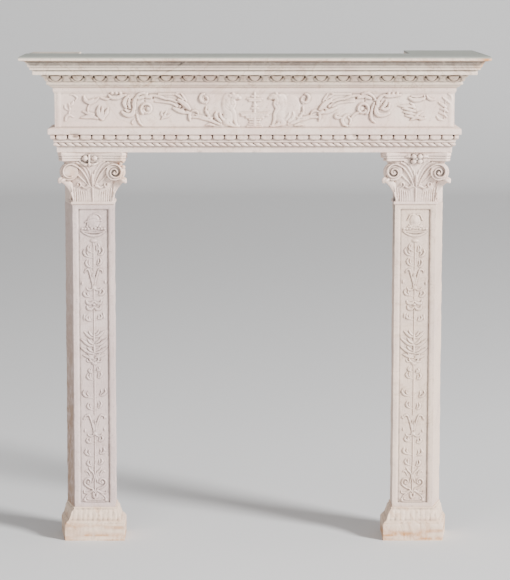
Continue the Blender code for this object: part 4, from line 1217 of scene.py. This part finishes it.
@dataclass
class Cornice(Stone):
    """Moulded shelf with its egg course, and the two plain tails that run back at its ends."""

    tall: float = 0.100
    reach: float = 0.149
    egg_count: int = 19
    egg_low: float = 0.0187
    egg_high: float = 0.0383
    egg_rise: float = 0.0120
    tail_length: float = 0.267
    tail_root: float = 0.088
    tail_bottom: float = 0.067
    side_points: int = 34
    left_tail: tuple[float, float] = (0.157, 0.095)     # width, height of its top
    right_tail: tuple[float, float] = (0.227, 0.0992)

    def eggs(self, along: np.ndarray, up: np.ndarray) -> np.ndarray:
        """Height of the egg course at places along and up a face."""
        half = LINTEL_HALF + 0.0700 + 0.0040
        pitch = 2 * half / self.egg_count
        phase = along / pitch + 0.5 * (self.egg_count % 2 == 0)
        u = (phase - np.round(phase)) * pitch
        drop = self.egg_high - up
        gap = np.hypot(u / 0.0158, drop / 0.0172)
        egg = self.egg_rise * np.clip(1 - gap ** 2.6, 0, 1) ** 0.5
        rim = 0.0062 * hill(np.hypot(u / 0.0212, drop / 0.0200) - 1, 0.085)
        v = pitch / 2 - np.abs(u)
        leaf_half = 0.0066 + 0.0050 * np.clip(drop / 0.0190, 0, 1)
        leaf = 0.0052 * np.clip(1 - (v / leaf_half) ** 4, 0, 1) ** 0.5 * band(drop, 0.0005, 0.0178, 0.0012)
        leaf = leaf - 0.0012 * hill(v, 0.0009) * (leaf > 0)
        hole = 0.0120 * np.clip(1.4 - np.hypot(np.abs(u) - 0.0192, 0.8 * (drop - 0.0034)) / 0.0036, 0, 1)
        return np.maximum(np.maximum(egg, rim), leaf) - hole

    def rings(self) -> np.ndarray:
        """Rings of the shelf; the tails are folds of the rings' back edge."""
        r = self.reach
        left_top, right_top = self.left_tail[1], self.right_tail[1]
        profile = (
            (.0520, JOINT, 0), (.0570, .0022, 2), (.0635, .0090, 4), (.0675, .0095, 1), (.0695, .0137, 3),
            (.0675, .0180, 3), (.0665, .0190, 1), (.0710, .0300, 8), (.0790, .0385, 6), (.0800, .0405, 1),
            (.0815, .04102, 1), (.1090, .0420, 4), (.1090, .0565, 5), (.1150, .0573, 2), (.1170, .0585, 1),
            (.1170, .0655, 2), (.1215, .0665, 2), (.1217, .0670, 1), (.1235, .0745, 3), (.1290, .0815, 3),
            (.1300, .0845, 1), (r - .0080, .0860, 3), (r - .0015, .0875, 2), (r, .0930, 3),
            (r - .0008, left_top, 1), (r - .0024, right_top, 2), (r - .0030, self.tall, 1))
        rows = rows_of(profile)

        def relief(along: np.ndarray, up: np.ndarray, side: str) -> np.ndarray:
            """Egg course and worn edges."""
            place = along if side == "front" else LINTEL_HALF + 0.0740 - along
            lift = band(up, self.egg_low, self.egg_high, 0.0010) * self.eggs(place, up)
            rough = tooling(along, up, (0.0004, 30, 50, 41), (0.0002, 150, 150, 43))
            lift = lift + rough * band(up, 0.003, 0.088, 0.004)
            nick = tooling(along, up, (1.0, 26, 2, 47), (0.5, 110, 8, 49))
            edge = hill(up - 0.0565, 0.0030) + 0.7 * hill(up - 0.0925, 0.006)
            return lift - 0.0022 * np.clip(nick - 0.55, 0, 1) * edge

        stack = ring_stack(rows, course_corners, np.linspace(0, 1, 641),
                           np.linspace(0, 0.94, self.side_points), relief)
        stack = worn(stack, 1, 0.22)
        return self.with_tails(stack, rows)

    def with_tails(self, stack: np.ndarray, rows: np.ndarray) -> np.ndarray:
        """Adds the back edge with its two tails to every ring.

        Args:
            stack: rings of the front and the two sides only.
            rows: projection and height of each ring.

        Returns:
            The whole rings. Where a tail starts or ends in height its points stand once folded
            away and once out, at one height, which makes its underside or top.
        """
        side_points = self.side_points - 1
        front = stack[:, :-side_points]
        left = stack[:, -side_points:]
        rings = []
        before = [False, False]
        for index, (_, z) in enumerate(rows):
            on = [self.tail_bottom <= z <= top + 1e-6 for _, top in (self.left_tail, self.right_tail)]
            if on != before:
                ends_below = all(before) or (any(before) and not all(on))
                fold, state = (index - 1, on) if ends_below else (index, before)
                rings.append(self.back_edge(front[fold], left[fold], rows[fold], state))
            rings.append(self.back_edge(front[index], left[index], rows[index], on))
            before = on
        return np.array(rings)

    def back_edge(self, front: np.ndarray, left: np.ndarray, row: Sequence[float],
                  on: Sequence[bool]) -> np.ndarray:
        """One ring: front and right side, the back with the tails that are out, and the left side.

        Args:
            front: points of the front and the right side.
            left: points of the left side, from back to front.
            row: projection and height.
            on: whether the left and the right tail are out at this height.

        Returns:
            The ring's points.
        """
        out, z = row
        edge = LINTEL_HALF + out
        face = LINTEL_HALF + self.reach - 0.004
        steps = np.linspace(0, 1, 13)
        parts = [front]
        for sign, width, is_out in ((1, self.right_tail[0], on[1]), (-1, self.left_tail[0], on[0])):
            outer = sign * (face if is_out else edge)
            inner = sign * (face - width)
            root = self.tail_root if is_out else LEG_DEPTH
            end = LEG_DEPTH + (self.tail_length if is_out else 0.0)
            rough = 0.0022 * value_noise(steps * 9, np.full(13, z * 60 + sign * 7), 53) * is_out
            line = [(sign * edge, root, z), (outer, root, z)]
            for step, bump in zip(steps[1:], rough[1:]):
                line.append((outer - sign * (0.001 + abs(bump)) * is_out, root + (end - root) * step, z))
            for step, bump in zip(steps[1:], rough[1:]):
                pull = abs(bump) * is_out * (1 if step < 1 else 0)
                line.append((outer + (inner - outer) * step, end - pull, z))
            for step in steps[1:]:
                line.append((inner, end + (LEG_DEPTH - end) * step, z))
            points = np.array(line)
            parts.append(points if sign == 1 else points[::-1])
        parts.append(left)
        return np.concatenate(parts)

    def stain(self, place: np.ndarray) -> np.ndarray:
        """Ochre at the shelf's right end, a brown line of painted shade under its rounded edge, and the vein.
        """
        up = place[:, 2] - CORNICE_Z
        corner = hill(place[:, 0] - 0.715, 0.030) * band(up, 0.060, 0.098, 0.01)
        # painted shade: a brown line under the rounded edge
        line = 0.55 * band(up, 0.0835, 0.0868, 0.002)
        return np.maximum(np.maximum(0.9 * corner, line), 0.30 * self.vein(place))

    @staticmethod
    def vein(place: np.ndarray) -> np.ndarray:
        """How near each point of the front is to the brown vein that crosses the mouldings."""
        up = place[:, 2] - CORNICE_Z
        wander = 0.006 * value_noise(up * 60, up * 0, 61)
        diagonal = place[:, 0] + 0.278 - 1.5 * (up - 0.045) + wander
        near = hill(diagonal, 0.0045) + 0.25 * hill(diagonal + 0.03, 0.010)
        return near * (place[:, 1] < LEG_FRONT_Y)

    def grime_and_shade(self, place: np.ndarray, hollow: np.ndarray) -> np.ndarray:
        """Grime and painted shade in the hollows, painted shade under the corona and its rounded edge,
        darkening in the vein, and a painted shadow where the left tail meets the top.
        """
        up = place[:, 2] - CORNICE_Z
        # painted shade under the corona and in the cavetto under the rounded edge
        under = 0.15 * band(up, 0.0395, 0.0425, 0.001) + 0.45 * band(up, 0.0672, 0.0852, 0.002)
        # painted shadow, ragged, along the left tail's join with the shelf top
        join_shadow = hill(place[:, 1] - LEG_FRONT_Y - 0.090, 0.022) * (up > self.tall - 0.006)
        ragged = np.clip(0.6 + value_noise(place[:, 0] * 40, place[:, 1] * 25, 59), 0, 1)
        tail = 0.8 * join_shadow * ragged * (place[:, 0] < -0.52)
        return super().grime_and_shade(place, hollow) + under + tail + 0.38 * self.vein(place)

    def dress(self, thing: bpy.types.Object) -> None:
        """As every stone, with dull dust on all that faces up at the top."""
        super().dress(thing)
        place = points_of(thing)
        top = np.clip((place[:, 2] - CORNICE_Z - self.left_tail[1] + 0.0022) / 0.003, 0, 1)
        tail = 0.35 * (place[:, 1] > LEG_FRONT_Y + 0.105) * (place[:, 0] < 0)
        tint(thing, "dust", top - tail)


def painted_gap_shadow(place: np.ndarray) -> np.ndarray:
    """Painted shadow along the inner side of the right leg's neck, which fades out down the shaft.

    Args:
        place: points in the frame of the whole mantel.

    Returns:
        How dark each point is.
    """
    beside = np.abs(place[:, 0] - (SHAFT_AXIS - SHAFT_WIDTH / 2)) < 0.004
    deep = place[:, 1] - LEG_FRONT_Y
    behind = np.clip((deep - 0.006) / 0.004, 0, 1) * np.clip((0.075 - deep) / 0.055, 0, 1)
    fade = np.clip((place[:, 2] - CAPITAL_Z + 0.20) / 0.18, 0, 1)
    fade = fade * np.clip((CAPITAL_Z + 0.080 - place[:, 2]) / 0.02, 0, 1)
    patchy = np.clip(1.0 + 0.5 * value_noise(place[:, 2] * 90, place[:, 1] * 70, 71), 0, 2)
    # painted shadow of the dark gap beside the right leg's neck
    return 2.2 * beside * behind * fade * patchy


def sweep(path: Sequence[Sequence[float]], widths: Sequence[float], thick: Sequence[float],
          up: Sequence[float] = (0, 0, 1), sides: int = 12) -> Body:
    """A closed limb of oval section along a curve.

    Args:
        path: chain of places, in the carving's frame of u, w and d.
        widths, thick: half width and half thickness at evenly spread places of the curve.
        up: the direction in which the thickness is measured.
        sides: points round the section.

    Returns:
        The limb's points and faces.
    """
    curve = smooth_chain(path, 6)
    share = np.linspace(0, 1, len(curve))
    wide = np.interp(share, np.linspace(0, 1, len(widths)), widths)
    deep = np.interp(share, np.linspace(0, 1, len(thick)), thick)
    along = np.gradient(curve, axis=0)
    along /= np.linalg.norm(along, axis=1, keepdims=True) + 1e-12
    across = np.cross(np.array(up, float), along)
    across /= np.linalg.norm(across, axis=1, keepdims=True) + 1e-12
    normal = np.cross(along, across)
    angle = np.linspace(0, 2 * np.pi, sides, endpoint=False)
    rings = (curve[:, None] + across[:, None] * (wide[:, None] * np.cos(angle))[..., None]
             + normal[:, None] * (deep[:, None] * np.sin(angle))[..., None])
    return closed(rings)


def mirrored(sign: int, chain: Iterable[Sequence[float]]) -> list[tuple[float, float, float]]:
    """A chain of places in u, w and d as it is drawn, or its mirror image."""
    return [(sign * u, w, d) for u, w, d in chain]


@dataclass
class Capital(Stone):
    """Capital of one leg: leafy bell, two scrolled volutes, hollow-sided abacus and its flower."""

    side: Side = Side.LEFT
    tall: float = 169.0          # millimetres, as all sizes of this class
    abacus: float = 29.0
    abacus_half: float = 108.0
    abacus_out: float = 44.0
    hollow: float = 12.0
    volute: float = 29.0
    volute_eye: Point = (70.0, 105.5)
    voxel: float = 1.45
    hollow_reach: int = 12
    grime_and_shade_scale: float = 1.5
    flower_w: float = 148.0
    # bands of painted shadow along the abacus: low, high and softness in millimetres
    abacus_shadow_lines: tuple[tuple[float, float, float], ...] = (
        (147.4, 149.6, 0.4), (155.4, 157.4, 0.4), (139.0, 141.6, 0.6))
    bell_foot: float = 65.5
    backing: float = 35.0        # how far behind the front plane the plain block begins

    def limbs(self) -> list[Body]:
        """All closed parts of the carving in u, w and d, before they are grown together."""
        parts: list[Body] = []
        for sign in (1, -1):
            parts += self.volute_limbs(sign)
            parts += self.flute_limbs(sign)
            parts += self.leaf_limbs(sign)
        parts.append(sweep(((0, 60, 13), (0, 80, 20), (0, 100, 24)), (2.0, 4.6, 1.6), (4, 5, 3)))
        parts.append(sweep(((0, 11, 3.5), (0, 32, 6.5), (0, 54, 11)), (1.8, 2.6, 3.2), (2.6, 2.8, 3.4)))
        if self.side is Side.RIGHT:
            parts += self.flower((0.0, self.flower_w, self.abacus_out - self.hollow), 21.0, 4)
        else:
            parts += self.broken_flower()
        return parts

    def volute_limbs(self, sign: int) -> list[Body]:
        """A volute: its drum, the roll beside it and the band that rises and winds to the eye."""
        u, w = sign * self.volute_eye[0], self.volute_eye[1]
        r = self.volute
        face = 30.0
        drum = (r * 0.84, r * 0.90)
        roll = (r * 0.86, r, r * 0.90)
        side = u + sign * 5
        parts = [sweep(((u, w, 2), (u, w, face * 0.5), (u, w, face - 1)), drum, drum, (0, 1, 0), 32),
                 sweep(((side, w, 4), (side, w, 13), (side, w, 21)), roll, roll, (0, 1, 0), 32)]
        rise = [(8, 61, 13), (16, 82, 18), (28, 103, 23.5), (42, 120, 28.5)]
        is_worn = self.side is Side.LEFT and sign < 0
        winding = spiral(self.volute_eye, 118, -120, r * 0.92, r * 0.52, 24)
        if not is_worn:
            winding += spiral(self.volute_eye, -132, -520, r * 0.50, r * 0.14, 34)
        path = mirrored(sign, rise + [(a, b, face + 0.8) for a, b in winding])
        parts.append(sweep(path, (2.0, 2.6, 2.6, 2.3, 2.1, 2.1, 1.8), (4.0, 4.4, 4.2, 3.6, 3.6, 3.8, 3.4)))
        if not is_worn:
            parts.append(sweep(((u, w, face - 6), (u, w, face + 3.0)), (3.4, 2.6), (3.4, 2.6), (0, 1, 0)))
        return parts

    @staticmethod
    def flute_limbs(sign: int) -> list[Body]:
        """Thin ridges beside the rising band, which fan out of the middle of the bell."""
        parts = []
        for chain, wide in (
                (((2.5, 70, 14), (6, 94, 19), (14, 117, 24), (26, 134, 27.5), (40, 141, 30)), 1.9),
                (((5, 65, 12.5), (11, 88, 17.5), (21, 111, 23), (34, 128, 27), (50, 137, 30)), 1.9),
                (((12, 57, 9.5), (24, 74, 14), (38, 88, 19), (46, 98, 24)), 2.2),
                (((1.5, 84, 18), (6, 100, 22), (9, 112, 24.5)), 1.8)):
            parts.append(sweep(mirrored(sign, chain), (wide * 0.6, wide, wide), (3.4, 3.8, 3.4)))
        return parts

    @staticmethod
    def leaf_limbs(sign: int) -> list[Body]:
        """The corner leaf whose tip curls out under the volute, and the bell's blades, band and curls."""
        corner = ((58, 14, -1), (65, 42, 3), (75, 64, 9), (90, 80, 20), (101, 80, 27), (104, 71, 27))
        limbs = [(corner, (5, 8, 11, 11, 9, 4), (2, 2.4, 4, 5.5, 5, 3.5))]
        for low, high, wide in ((8, 60, 1.3), (4, 40, 1.1)):
            rib = ((61, low + 8, 2.2), (63, (low + high) / 2, 4.5), (68, high, 9.5))
            limbs.append((rib, (wide, wide, wide), (2.4, 2.4, 2.4)))
        for u, high in ((7, 50), (14, 47), (21, 44), (28, 42), (35, 44), (42, 48), (49, 52), (56, 54)):
            blade = ((u, 11, 1.6), (u, high * 0.6, 3.6), (u + 2, high, 7.4))
            limbs.append((blade, (1.4, 2.0, 1.4), (1.5, 1.7, 1.6)))
        moustache = ((0, 56, 9), (12, 61, 12), (24, 55, 11), (34, 60, 11))
        lip = ((84, 84, 24), (94, 80, 30), (103, 76, 29))
        inner = [(u, w + 5, 13.5) for u, w in spiral((10, 62), -90, 250, 6.5, 2.0, 16)]
        outer = [(u, w, 13.5) for u, w in spiral((44, 66), 250, -60, 8.0, 3.0, 16)]
        limbs += [(moustache, (2.4, 4.2, 3.4, 1.8), (3, 4.5, 4, 3)), (lip, (3.5, 5, 3.5), (3, 4, 3)),
                  (inner, (1.7, 1.5, 1.2), (3.4, 3.2, 2.6)), (outer, (1.9, 1.7, 1.4), (3.6, 3.2, 2.6))]
        return [sweep(mirrored(sign, chain), widths, thick) for chain, widths, thick in limbs]

    @staticmethod
    def flower(centre: Sequence[float], reach: float, petals: int) -> list[Body]:
        """An open flower with rounded petals round a button."""
        u, w, d = centre
        button = (reach * 0.20, reach * 0.14)
        parts = [sweep(((u, w, d), (u, w, d + 9)), button, button, (0, 1, 0))]
        for i in range(petals):
            turn = 2 * math.pi * (i + 0.5) / petals
            c, s = math.cos(turn), math.sin(turn) * 0.95
            chain = ((u, w, d), (u + c * reach * 0.55, w + s * reach * 0.45, d + 7),
                     (u + c * reach, w + s * reach * 0.80, d + 4))
            parts.append(sweep(chain, (reach * 0.22, reach * 0.36, reach * 0.34), (4.0, 5.5, 4.4)))
        for sign in (1, -1):
            wing = ((u + sign * 14, w + 4, d), (u + sign * 24, w + 8, d + 3), (u + sign * 36, w + 6, d + 2))
            parts.append(sweep(wing, (4, 5, 2), (3, 4, 2)))
        return parts

    def broken_flower(self) -> list[Body]:
        """What is left of the left capital's flower: a petal, its stem and a boat-shaped leaf."""
        d = self.abacus_out - self.hollow - 3.0
        parts = [sweep(((-30, 148, d), (-22, 150, d + 6), (-15, 150, d + 4)), (5, 9.5, 6), (4, 6, 4)),
                 sweep(((-9, 137, d + 2), (-9, 150, d + 6), (-9, 162, d + 5)), (3, 3.4, 3), (4, 4, 4)),
                 sweep(((0, 150, d), (8, 150, d + 3), (15, 149, d + 1)), (5, 8, 5), (3, 4, 3)),
                 sweep(((-9, 126, d), (-9, 132, d + 7), (-9, 137, d + 5)), (4, 5, 3), (4, 4, 3))]
        for sign in (1, -1):
            boat = ((-9 + sign * 3, 131, d + 2), (-9 + sign * 14, 130, d + 5), (-9 + sign * 27, 135, d + 2))
            parts.append(sweep(boat, (3, 4.2, 2), (3, 4.5, 2)))
        lumps = ((92, 152, 34, 8), (97, 140, 32, 6), (90, 134, 30, 6), (98, 122, 26, 7), (94, 112, 27, 6))
        for u, w, out, r in lumps:
            parts.append(sweep(((u - r * 0.5, w - 2, out - 6), (u, w, out), (u + r * 0.5, w + 2, out - 3)),
                               (r * 0.7, r, r * 0.6), (r * 0.6, r * 0.8, r * 0.5)))
        return parts

    def block(self) -> list[Body]:
        """Backing block, astragal, bell and abacus as closed rings, in the stone's own frame."""
        centre = self.side.value * SHAFT_AXIS / MM
        tall, top = self.tall, self.tall - self.abacus
        wall, splay = SHAFT_WIDTH / MM / 2, LEG_SPLAY / MM
        depth = LEG_DEPTH / MM
        outside = self.side.value
        stacks = []

        def ring(points: Iterable[Point], z: float) -> np.ndarray:
            """Points of one ring, anticlockwise from above."""
            line = [(centre + u, y, z) for u, y in points]
            area = sum(a[0] * b[1] - b[0] * a[1] for a, b in zip(line, line[1:] + line[:1]))
            return np.array(line if area > 0 else line[::-1])

        front = (-outside * wall, outside * (wall + splay * 0.35))
        back = (-outside * wall, outside * (wall + splay))
        plan = ((front[0], self.backing), (front[1], self.backing), (back[1], depth), (back[0], depth))
        stacks.append([ring(plan, 0.0), ring(plan, tall - 0.3)])
        swell = []
        for out, z in ((0, 0.0), (3.6, 1.0), (5, 3.2), (5, 7.6), (3.4, 9.8), (0, 11.0), (0, 14)):
            plan = ((-outside * (wall + out), -out), (outside * (wall + out), -out),
                    (outside * (wall + splay), depth), (-outside * (wall + out), depth))
            swell.append(ring(plan, z))
        stacks.append(swell)
        foot = self.bell_foot
        share = np.linspace(0, 1, 14)
        levels = (10, .22 * tall, .42 * tall, .58 * tall, .76 * tall, top + 2)
        heights = np.interp(share, (0, .2, .45, .65, .85, 1), levels)
        halves = np.interp(heights, levels, (foot, foot + 1, foot + 5, foot + 10, foot + 22, foot + 28))
        fronts = np.interp(heights, levels, (1, 4, 13, 20, 26, 29))
        bell = []
        for half, out, z in zip(halves, fronts, heights):
            soft = 0.3 * half
            plan = [(-half, 50), (-half, soft * 0.6 - out), (-half + soft * 0.4, soft * 0.16 - out),
                    (-half + soft, -out)]
            plan += [(0.0, -out - 2.5)] + [(-u, y) for u, y in reversed(plan)]
            bell.append(ring(plan, z))
        stacks.append(bell)
        slab = []
        for inset, z in ((8, top), (4, top + 1.0), (2.6, top + 2.6), (2.4, top + 7.0), (5.4, top + 7.8),
                         (5.4, top + 9.2), (2.0, top + 10.0), (1.8, top + 15.0), (4.6, top + 15.8),
                         (4.6, top + 17.2), (0.6, top + 18.0), (0, top + 19.0),
                         (0, tall - 1.4), (0.8, tall - 0.3)):
            slab.append(ring(self.abacus_plan(inset), z))
        stacks.append(slab)
        return [closed(np.array(stack)) for stack in stacks]

    def abacus_plan(self, inset: float) -> list[Point]:
        """Plan of the abacus at one inset: cut corners and hollow sides."""
        half, front = self.abacus_half - inset, self.abacus_out - inset
        back = 92.0
        horn = 0.12 * half
        points = [(-half, back)]
        for share in np.linspace(0.85, 0.10, 7):
            y = horn - front + (back - horn + front) * share
            points.append((-half + self.hollow * 0.9 * math.sin(math.pi * share) ** 0.8, y))
        points += [(-half, horn - front), (-half + horn, -front)]
        for share in np.linspace(-0.82, 0.82, 19):
            points.append((half * share, -front + self.hollow * (1 - (share / 0.86) ** 2)))
        return points + [(half - horn, -front), (half, horn - front)] + [
            (-u, y) for u, y in reversed(points[1:8])] + [(half, back)]

    def build(self) -> bpy.types.Object:
        """Grows all parts of the capital together into one worn stone."""
        centre = self.side.value * SHAFT_AXIS
        bodies = [(points * MM, faces) for points, faces in self.block()]
        for points, faces in self.limbs():
            turned = np.stack([points[:, 0] * MM + centre, -points[:, 2] * MM, points[:, 1] * MM], 1)
            bodies.append((turned, faces))
        every_point, every_face, offset = [], [], 0
        for points, faces in bodies:
            every_point.append(points + (0, LEG_FRONT_Y, self.base_z))
            every_face += [tuple(i + offset for i in face) for face in faces]
            offset += len(points)
        thing = in_edit_mode(self.node + "_stone", np.vstack(every_point), every_face)
        bpy.ops.mesh.normals_make_consistent(inside=False)
        bpy.ops.object.mode_set(mode="OBJECT")
        apply_modifier(thing, "REMESH", mode="VOXEL", voxel_size=self.voxel * MM)
        apply_modifier(thing, "SMOOTH", factor=0.5, iterations=1)
        self.keep_inside(thing)
        return thing

    def grime_and_shade(self, place: np.ndarray, hollow: np.ndarray) -> np.ndarray:
        """Grime and painted shade in the hollows, and painted shade thick in four places.

        Args:
            place: points in the frame of the whole mantel.
            hollow: how deep each point lies in a hollow, in millimetres.

        Returns:
            How dark each point is painted, all of it painted shade: round the abacus flower, in the scrolls,
            in small spots of the bell and along the lines of the abacus. u, w and d are its place across, up
            and out.
        """
        u = (place[:, 0] - self.side.value * SHAFT_AXIS) / MM
        w = (place[:, 2] - self.base_z) / MM
        d = (LEG_FRONT_Y - place[:, 1]) / MM
        on_face = d > 20
        if self.side is Side.RIGHT:
            petals = np.hypot((np.abs(u) - 10.5) / 10.0, (np.abs(w - self.flower_w) - 8.0) / 8.0)
            flower = 1.2 * (np.abs(petals - 1) < 0.18) * (d > 24)
        else:
            low = on_face & (d < self.abacus_out - self.hollow + 3.5)
            flower = 0.7 * low * (np.hypot((u + 7) / 30, (w - 146) / 20) < 1)
        eye = np.hypot(np.abs(u) - self.volute_eye[0], w - self.volute_eye[1])
        is_sharp = (u > 0) | (self.side is Side.RIGHT)
        scroll = (eye < 16) & (d < 31.5) & on_face & is_sharp
        bell_shadow_spots = np.zeros(len(place))
        for a, b in ((0, 66), (17, 66), (21, 48), (37, 54)):
            bell_shadow_spots = np.maximum(bell_shadow_spots, hill(np.hypot(np.abs(u) - a, w - b), 3.0) * (d > 2))
        abacus_shadow_bands = sum(band(w, low, high, soft) for low, high, soft in self.abacus_shadow_lines)
        abacus_shadow_bands = abacus_shadow_bands * (d > 22) * (np.hypot(u / 34, (w - self.flower_w) / 22) > 1)
        # painted shade: ring round the flower, scroll hollows, shadow spots on the bell and shadow lines of
        # the abacus
        own = 0.7 * flower + 0.4 * scroll + 0.5 * bell_shadow_spots + 0.5 * abacus_shadow_bands
        return super().grime_and_shade(place, hollow) + own + painted_gap_shadow(place)

    def keep_inside(self, thing: bpy.types.Object) -> None:
        """Trims what the growing left outside the node's own box."""
        low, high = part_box(self.node)
        place = np.clip(points_of(thing), np.array(low) + 1e-5, np.array(high) - 1e-5)
        thing.data.vertices.foreach_set("co", place.reshape(-1))
        thing.data.update()

    def stain(self, place: np.ndarray) -> np.ndarray:
        """Ochre on the worn corner and the worn volutes of the left capital."""
        if self.side is Side.RIGHT:
            return super().stain(place)
        patches = super().stain(place)
        for u, w, size, strength in ((0.098, 0.138, 0.022, 0.50), (0.094, 0.100, 0.024, 0.42),
                                     (-0.066, 0.100, 0.026, 0.34)):
            spot = np.array((-SHAFT_AXIS + u, LEG_FRONT_Y - 0.03, CAPITAL_Z + w))
            patches = np.maximum(patches, strength * hill(np.linalg.norm(place - spot, axis=1), size))
        return patches


@dataclass(frozen=True)
class Lamp:
    """A round soft light: where it stands, what it looks at, its width and its power."""

    name: str
    place: tuple[float, float, float]
    target: tuple[float, float, float]
    size: float
    watts: float


@dataclass
class Studio:
    """Floor, backdrop, soft lights and the camera."""

    floor_half: float = 13.0
    wall_y: float = 12.0
    wall_tall: float = 7.0
    camera_place: tuple[float, float, float] = (-0.089, -7.109, 1.84)
    camera_pitch: float = -7.21
    lens: float = 138.5
    shift: tuple[float, float] = (0.05, -0.080)
    sky_strength: float = 0.45
    lamps: tuple[Lamp, ...] = (
        Lamp("key", (11.4, -8.0, 6.5), (0.0, 0.0, 1.0), 3.8, 6000.0),
        Lamp("fill", (-2.6, -5.6, 1.8), (0.0, 0.0, 0.8), 3.0, 110.0),
        Lamp("top", (0.0, -0.8, 4.2), (0.0, 0.2, 0.6), 2.6, 40.0))

    def build(self) -> None:
        """Makes the stage, the lights and the camera."""
        self.floor()
        self.lights()
        self.camera()

    def floor(self) -> None:
        """A pale floor that turns up into a wall far behind the object."""
        bpy.ops.object.select_all(action="DESELECT")
        middle = (0, self.wall_y - self.floor_half, 0)
        bpy.ops.mesh.primitive_plane_add(size=2 * self.floor_half, location=middle)
        sheet = bpy.context.active_object
        sheet.name = "studio_floor"
        bpy.ops.object.transform_apply(location=True)
        bpy.ops.object.mode_set(mode="EDIT")
        bpy.ops.mesh.select_mode(type="EDGE")
        bpy.ops.mesh.select_all(action="DESELECT")
        bpy.ops.object.mode_set(mode="OBJECT")
        for edge in sheet.data.edges:
            ends = [sheet.data.vertices[i].co.y for i in edge.vertices]
            edge.select = min(ends) > self.wall_y - 0.01
        bpy.ops.object.mode_set(mode="EDIT")
        bpy.ops.mesh.extrude_region_move(TRANSFORM_OT_translate={"value": (0, 0, self.wall_tall)})
        bpy.ops.object.mode_set(mode="OBJECT")
        apply_modifier(sheet, "BEVEL", width=1.6, segments=14, limit_method="ANGLE")
        with_only(sheet)
        bpy.ops.object.shade_smooth()
        paper = bpy.data.materials.new("matt_pale_paper")
        paper.use_nodes = True
        shader = paper.node_tree.nodes["Principled BSDF"]
        shader.inputs["Base Color"].default_value = linear("#d2d2d2")
        shader.inputs["Roughness"].default_value = 0.9
        sheet.data.materials.append(paper)

    def lights(self) -> None:
        """A large key from the upper right, a weak fill from the left and an even grey sky."""
        for lamp in self.lamps:
            light = bpy.data.lights.new(lamp.name, "AREA")
            light.shape = "DISK"
            light.size = lamp.size
            light.energy = lamp.watts
            thing = bpy.data.objects.new(lamp.name, light)
            thing.location = lamp.place
            aim = Vector(lamp.target) - Vector(lamp.place)
            thing.rotation_euler = aim.to_track_quat("-Z", "Y").to_euler()
            bpy.context.scene.collection.objects.link(thing)
        world = bpy.data.worlds.new("soft_sky")
        world.use_nodes = True
        sky = world.node_tree.nodes["Background"]
        sky.inputs["Color"].default_value = linear("#e8e6e6")
        sky.inputs["Strength"].default_value = self.sky_strength
        bpy.context.scene.world = world

    def camera(self) -> None:
        """The photograph's view: far off, a little above the shelf, looking slightly down."""
        data = bpy.data.cameras.new("camera")
        data.lens = self.lens
        data.sensor_width = 36.0
        data.shift_x, data.shift_y = self.shift
        data.clip_end = 60.0
        camera = bpy.data.objects.new("camera", data)
        camera.location = self.camera_place
        camera.rotation_euler = (math.radians(90 + self.camera_pitch), 0, 0)
        bpy.context.scene.collection.objects.link(camera)
        bpy.context.scene.camera = camera


def main() -> None:
    """Builds the studio and the eight stones in order."""
    logging.basicConfig(level=logging.INFO, format="%(message)s")
    Studio().build()
    pale, shelf = PALE.material(), SHELF.material()
    stained = STAINED.material()
    stones: list[Stone] = []
    for side, word, finish in ((Side.LEFT, "left", GREYED), (Side.RIGHT, "right", WARM)):
        stones.append(Base(f"{word}_base", 0.0, stained, "stained_marble", side=side))
        stones.append(Shaft(f"{word}_shaft", SHAFT_Z, finish.material(), "greyed_marble", side=side))
        stones.append(Capital(f"{word}_capital", CAPITAL_Z, pale, "pale_marble", side=side))
    stones.append(Lintel("lintel", LINTEL_Z, pale, "pale_marble"))
    stones.append(Cornice("cornice_shelf", CORNICE_Z, shelf, "shelf_marble"))
    for stone in stones:
        stone.dress(stone.build())


if __name__ == "__main__":
    main()
